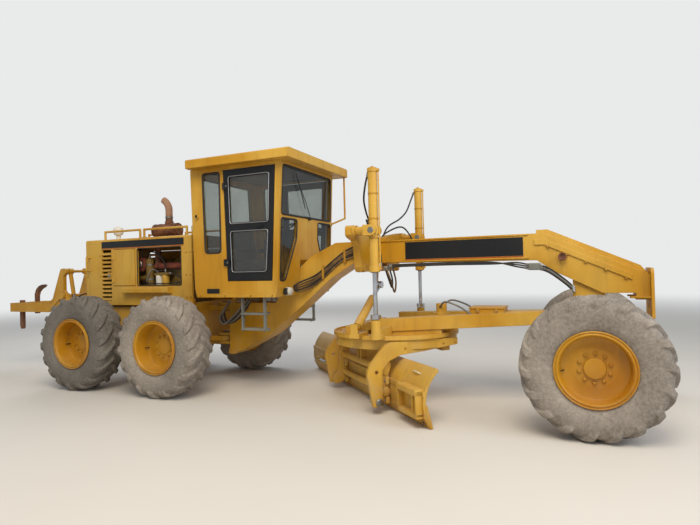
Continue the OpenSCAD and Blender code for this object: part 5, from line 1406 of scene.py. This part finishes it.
@dataclass
class BladeDress:
    """Fittings on the drawbar, circle, tilt bracket and moldboard."""

    blade_near: float = -1.440
    blade_length: float = 3.660
    bracket: float = 0.640
    arm: float = 0.720
    motor_x: float = 4.244

    def drawbar(self) -> None:
        """Makes the circle shoes' bolts, the drive motor's hoses and the tool box's catches."""
        kit = Fittings("drawbar_fittings", "drawbar")
        kit.bolt_ring((CIRCLE_X, 0.0, 0.828), "z", 0.715, 12, 15, 0.014)
        kit.bolt_ring((self.motor_x, 0.0, 1.010), "z", 0.098, 8, 22, 0.010)
        for s in SIDES:
            kit.hose([(self.motor_x, s * 0.062, 1.13), (4.33, s * 0.16, 1.20), (4.50, s * 0.20, 1.15),
                      (4.72, s * 0.215, 1.03), (5.02, s * 0.20, 1.03)], finish=Finish.HOSE_GREY)
        for x in (4.70, 4.91):
            kit.pipe([(x + 0.004, -0.186, 1.10), (x + 0.004, -0.198, 1.088), (x + 0.026, -0.198, 1.088),
                      (x + 0.026, -0.186, 1.10)], 0.003, Finish.STEEL, 4)
        kit.build()

    def circle(self) -> None:
        """Makes the arms' pivot caps and bolts, and the hose at the swivel."""
        kit = Fittings("circle_fittings", "circle")
        for sign in SIDES:
            q = sign * self.arm
            kit.boss([(-0.585, q + sign * v, 0.135) for v in (0.022, 0.034, 0.040, 0.043)],
                     (0.044, 0.044, 0.040, 0.020), Finish.STEEL)
            for t, z in ((-0.25, 0.715), (0.0, 0.735), (0.25, 0.735), (0.40, 0.735)):
                kit.boss([(t, q + sign * v, z) for v in (0.024, 0.034, 0.036)], (0.014, 0.014, 0.011),
                         Finish.DEEP_YELLOW, 6)
        kit.hose([blade_at(0.28, -0.12, 0.62), blade_at(0.10, -0.16, 0.62), blade_at(-0.08, -0.10, 0.66)], 0.010)
        kit.build()

    def tilt(self) -> None:
        """Makes the tilt bracket's cast bosses, wear shoes on the rails and the shift cylinder's end caps."""
        kit = Fittings("tilt_castings", "tilt")
        for s in SIDES:
            for low, high in ((0.312, 0.398), (0.100, 0.176)):
                q, z = s * self.bracket, (low + high) / 2
                kit.along_blade(strip(-0.478, -0.430, low, high), q - 0.055, q + 0.055, Finish.YELLOW, 0.010)
                for dq in (-0.035, 0.035):
                    kit.boss([(-0.476, q + dq, z), (-0.490, q + dq, z)], (0.012, 0.010), Finish.STEEL)
            kit.boss([(-0.476, s * 0.672, 0.235), (-0.476, s * 0.690, 0.235), (-0.476, s * 0.694, 0.235)],
                     (0.052, 0.052, 0.046), Finish.YELLOW)
            kit.boss([(-0.480, s * 0.612, 0.480), (-0.480, s * 0.688, 0.480), (-0.480, s * 0.693, 0.480)],
                     (0.058, 0.058, 0.050), Finish.YELLOW)
        kit.build()

    def blade(self) -> None:
        """Makes the cutting edge's bolts."""
        kit = Fittings("blade_fittings", "blade")
        for q in np.linspace(self.blade_near + 0.08, self.blade_near + self.blade_length - 0.08, 20):
            kit.boss([(t, q, 0.075) for t in (-0.352, -0.366, -0.368)], (0.015, 0.015, 0.012), Finish.SHANK, 6)
        kit.build()

    def blade_end(self) -> None:
        """Makes the near end's rib frame on the slide rails, the edge plate on its arc, a loop and end bolts."""
        kit = Fittings("blade_end_frame", "blade")
        near = self.blade_near
        for low, high, back in ((0.338, 0.402, -0.500), (0.106, 0.158, -0.486)):
            kit.along_blade(strip(back, -0.380, low, high), near + 0.03, near + 0.44, Finish.YELLOW, 0.006)
        rib = [(-0.385, 0.13), (-0.478, 0.13), (-0.494, 0.18), (-0.496, 0.34), (-0.486, 0.385), (-0.385, 0.385)]
        for q in (0.03, 0.10, 0.42):
            kit.along_blade(rib, near + q, near + q + 0.018, Finish.YELLOW)
        kit.along_blade(strip(-0.412, -0.404, 0.15, 0.34), near + 0.11, near + 0.42, Finish.DEEP_YELLOW)
        a = np.radians(np.linspace(-34, 52, 22))
        rim = [(0.011 - r * math.cos(v), 0.251 + r * math.sin(v)) for r, turn in ((0.400, 1), (0.424, -1))
               for v in a[::turn]]
        kit.along_blade(rim, near + 0.001, near + 0.022, Finish.YELLOW)
        kit.pipe([blade_at(-0.300, near + 0.20, 0.500), blade_at(-0.350, near + 0.215, 0.532),
                  blade_at(-0.352, near + 0.27, 0.535), blade_at(-0.350, near + 0.325, 0.532),
                  blade_at(-0.300, near + 0.34, 0.500)], 0.008, Finish.CREAM)
        for z in (0.055, 0.105, 0.155):
            kit.boss([(-0.352 - 0.3 * z, near + 0.07, z), (-0.374 - 0.3 * z, near + 0.0705, z),
                      (-0.378 - 0.3 * z, near + 0.071, z)], (0.017, 0.017, 0.012), Finish.SHANK)
        kit.build()

    def build(self) -> None:
        """Makes all of the blade carriage's pieces."""
        self.drawbar()
        self.circle()
        self.tilt()
        self.blade()
        self.blade_end()


@dataclass
class RearDress:
    """The tandem covers' bolts, the steps' grip buttons, and the ripper's pin caps and hoses."""

    def tandems(self) -> None:
        """Makes the rings of bolts on the tandem cases' covers."""
        kit = Fittings("tandem_fittings", "rear")
        for s in SIDES:
            for x in (-TANDEM_REACH, TANDEM_REACH):
                kit.bolt_ring((x, s * 0.794, WHEEL_RADIUS), "y", 0.190, 12, 15, 0.010, s)
        kit.build()

    def steps(self) -> None:
        """Makes raised grip buttons on the steps' treads, standing in staggered rows."""
        kit = Fittings("step_treads", "front")
        for s in SIDES:
            for z in (0.884, 1.084):
                for i in range(11):
                    for j in range(4):
                        x = 1.79 + 0.03 * i + 0.015 * (j % 2)
                        kit.turned([(0.0, 0.005), (0.005, 0.0045), (0.008, -0.001)],
                                   (x, s * (0.585 + 0.03 * j), z), "z", Finish.GREY, 1.0, 8)
        kit.build()

    def ripper(self) -> None:
        """Makes the ripper's pin caps and the cylinders' hoses."""
        kit = Fittings("ripper_fittings", "rear")
        for s in SIDES:
            kit.turned([(0, 0.008), (0.034, 0.008), (0.038, 0.002), (0.038, -0.002)], (-2.12, s * 0.276, 1.285), "y",
                       Finish.STEEL, s)
            kit.hose([(-1.36, s * 0.24, 1.22), (-1.52, s * 0.29, 1.32), (-1.68, s * 0.31, 1.30),
                      (-1.80, s * 0.275, 1.22)])
        kit.build()

    def build(self) -> None:
        """Makes all of these pieces."""
        self.tandems()
        self.steps()
        self.ripper()


# Stage: camera, floor and light


def place_view(item: bpy.types.Object, right: Array, up: Array, forward: Array, place: Sequence[float]) -> None:
    """Turns a camera or a lamp to look forward and puts it in its place."""
    rows = np.stack([right, up, -forward], 1).tolist()
    item.matrix_world = Matrix([[*row, p] for row, p in zip(rows, place)] + [[0, 0, 0, 1]])


@dataclass
class Stage:
    """Pale floor, soft studio light and the camera at the photograph's viewing angle."""

    eye: Point = (4.240, -6.3755, 1.629)
    yaw: float = 23.77
    pitch: float = 0.66
    roll: float = -1.44
    lens: float = 26.743
    sensor: float = 36.0
    far: float = 200.0
    target: Point = (0.0, 0.0, 1.2)
    floor_radius: float = 60.0
    floor_points: int = 64
    floor_colours: tuple[str, str] = ("#DAD5CC", "#D3CDC3")
    sky: str = "#DDE6F0"
    backdrop: str = "#E9EAEA"
    # Each lamp's name, place, size, power and colour
    lamps: tuple = (("key", (4.0, -7.0, 9.5), 6.0, 900.0, "#FFF3DF"),
                    ("fill", (9.5, -3.0, 5.0), 5.0, 260.0, "#F2F5FF"),
                    ("back", (-6.0, 6.0, 8.0), 7.0, 420.0, "#F4F6FF"))

    def camera(self) -> None:
        """Sets the camera: forward from yaw and pitch, then right and up turned about it by the roll."""
        yaw, pitch, roll = (math.radians(v) for v in (self.yaw, self.pitch, self.roll))
        forward = np.array([-math.sin(yaw) * math.cos(pitch), math.cos(yaw) * math.cos(pitch), math.sin(pitch)])
        right = np.array([math.cos(yaw), math.sin(yaw), 0.0])
        up = np.cross(right, forward)
        data = bpy.data.cameras.new("photo camera")
        data.lens = self.lens
        data.sensor_width = self.sensor
        data.sensor_fit = "HORIZONTAL"
        data.clip_end = self.far
        camera = link_new("photo camera", data)
        place_view(camera, right * math.cos(roll) + up * math.sin(roll),
                   -right * math.sin(roll) + up * math.cos(roll), forward, self.eye)
        bpy.context.scene.camera = camera

    def floor(self) -> None:
        """Lays the floor: a disc whose points lie at radius x (cos a, sin a) and height 0."""
        count = self.floor_points
        a = np.linspace(0, 2 * math.pi, count, endpoint=False)
        ring = np.stack([self.floor_radius * np.cos(a), self.floor_radius * np.sin(a), np.zeros(count)], -1)
        floor = add_mesh("floor", ring, [list(range(count))], smooth=False)
        g = Graph("pale studio floor")
        g.finish({"Base Color": g.mix(g.noise(900), *self.floor_colours), "Roughness": 0.9})
        # Far from the machine the floor fades into the backdrop's colour
        far = g.node("VectorMath", {0: g.place}, operation="LENGTH").outputs["Value"]
        glow = g.node("Emission", {"Color": self.backdrop, "Strength": 1.0}).outputs[0]
        faded = g.node("MixShader", {0: g.ramp(far, 9.0, 26.0), 1: g.shader.outputs[0], 2: glow})
        floor.data.materials.append(g.show(faded))

    def light(self) -> None:
        """Lights the scene: a pale world, and three large soft lamps that look at the machine's middle."""
        world = bpy.data.worlds.new("studio")
        bpy.context.scene.world = world
        world.use_nodes = True
        tree = world.node_tree
        tree.nodes.clear()
        path = add_node(tree, "LightPath").outputs["Is Camera Ray"]
        dim = add_node(tree, "Background", {"Color": self.sky, "Strength": 0.54}).outputs[0]
        seen = add_node(tree, "Background", {"Color": self.backdrop, "Strength": 1.0}).outputs[0]
        mixed = add_node(tree, "MixShader", {0: path, 1: dim, 2: seen}).outputs[0]
        add_node(tree, "OutputWorld", {"Surface": mixed})
        for name, place, size, power, colour in self.lamps:
            data = bpy.data.lights.new(name, "AREA")
            data.size = size
            data.energy = power
            data.color = linear(colour)[:3]
            forward = np.array(self.target) - np.asarray(place)
            forward /= np.linalg.norm(forward)
            right = np.cross(forward, [0, 0, 1])
            right /= np.linalg.norm(right)
            place_view(link_new(name, data), right, np.cross(right, forward), forward, place)

    def build(self) -> None:
        """Sets the camera, floor and light."""
        bpy.context.scene.view_settings.view_transform = "Standard"
        self.camera()
        self.floor()
        self.light()


@dataclass
class FrameFinishes:
    """Gives each CAD node that shows its finish."""

    frame: dict[str, Any]
    by_node: dict[str, Finish] = field(default_factory=lambda: {
        "engine": Finish.ENGINE, "exhaust": Finish.EXHAUST, "air_intake": Finish.WHITE,
        "ripper_shanks": Finish.SHANK, "ripper_rod": Finish.CHROME, "lift_rod_right": Finish.CHROME,
        "lift_rod_left": Finish.CHROME, "shift_rod": Finish.CHROME, "tip_rod": Finish.CHROME,
        "centre_rod": Finish.CHROME, "cab_glass": Finish.GLASS, "cab_door_right": Finish.BLACK,
        "cab_door_left": Finish.BLACK, "seat": Finish.VINYL, "controls": Finish.PLASTIC, "steps": Finish.GREY,
        "tie_stud": Finish.STEEL})
    pane_depth: float = 0.7325
    pane_slack: float = 0.009

    def build(self) -> None:
        """Puts the finishes on the nodes; the ones not named are yellow."""
        for name, node in self.frame["nodes"].items():
            finish = self.by_node.get(name, Finish.YELLOW)
            node.data.materials.clear()
            node.data.materials.append(finish.material())
            if name.startswith("cab_door"):
                self.glaze(node)

    def glaze(self, node: bpy.types.Object) -> None:
        """Gives the panes in a door's node, which lie deeper than the frame, the glass."""
        node.data.materials.append(Finish.GLASS.material())
        count = len(node.data.polygons)
        centres, normals = np.empty(count * 3), np.empty(count * 3)
        node.data.polygons.foreach_get("center", centres)
        node.data.polygons.foreach_get("normal", normals)
        depth = np.abs(centres.reshape(-1, 3)[:, 1] + ORIGIN_Y)
        upright = np.abs(normals.reshape(-1, 3)[:, 1]) > 0.9
        pane = upright & (np.abs(depth - self.pane_depth) < self.pane_slack)
        node.data.polygons.foreach_set("material_index", pane.astype(np.int32))
        LOG.info("glass on %d faces of %s", int(pane.sum()), node.name)


def main() -> None:
    """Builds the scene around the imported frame."""
    logging.basicConfig(level=logging.INFO, format="%(name)s: %(message)s")
    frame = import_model()
    Stage().build()
    FrameFinishes(frame).build()
    Wheels().build()
    for group in (HoodDress(), EngineDress(), CabDress(), FrontDress(), BladeDress(), RearDress()):
        group.build()


if __name__ == "__main__":
    main()
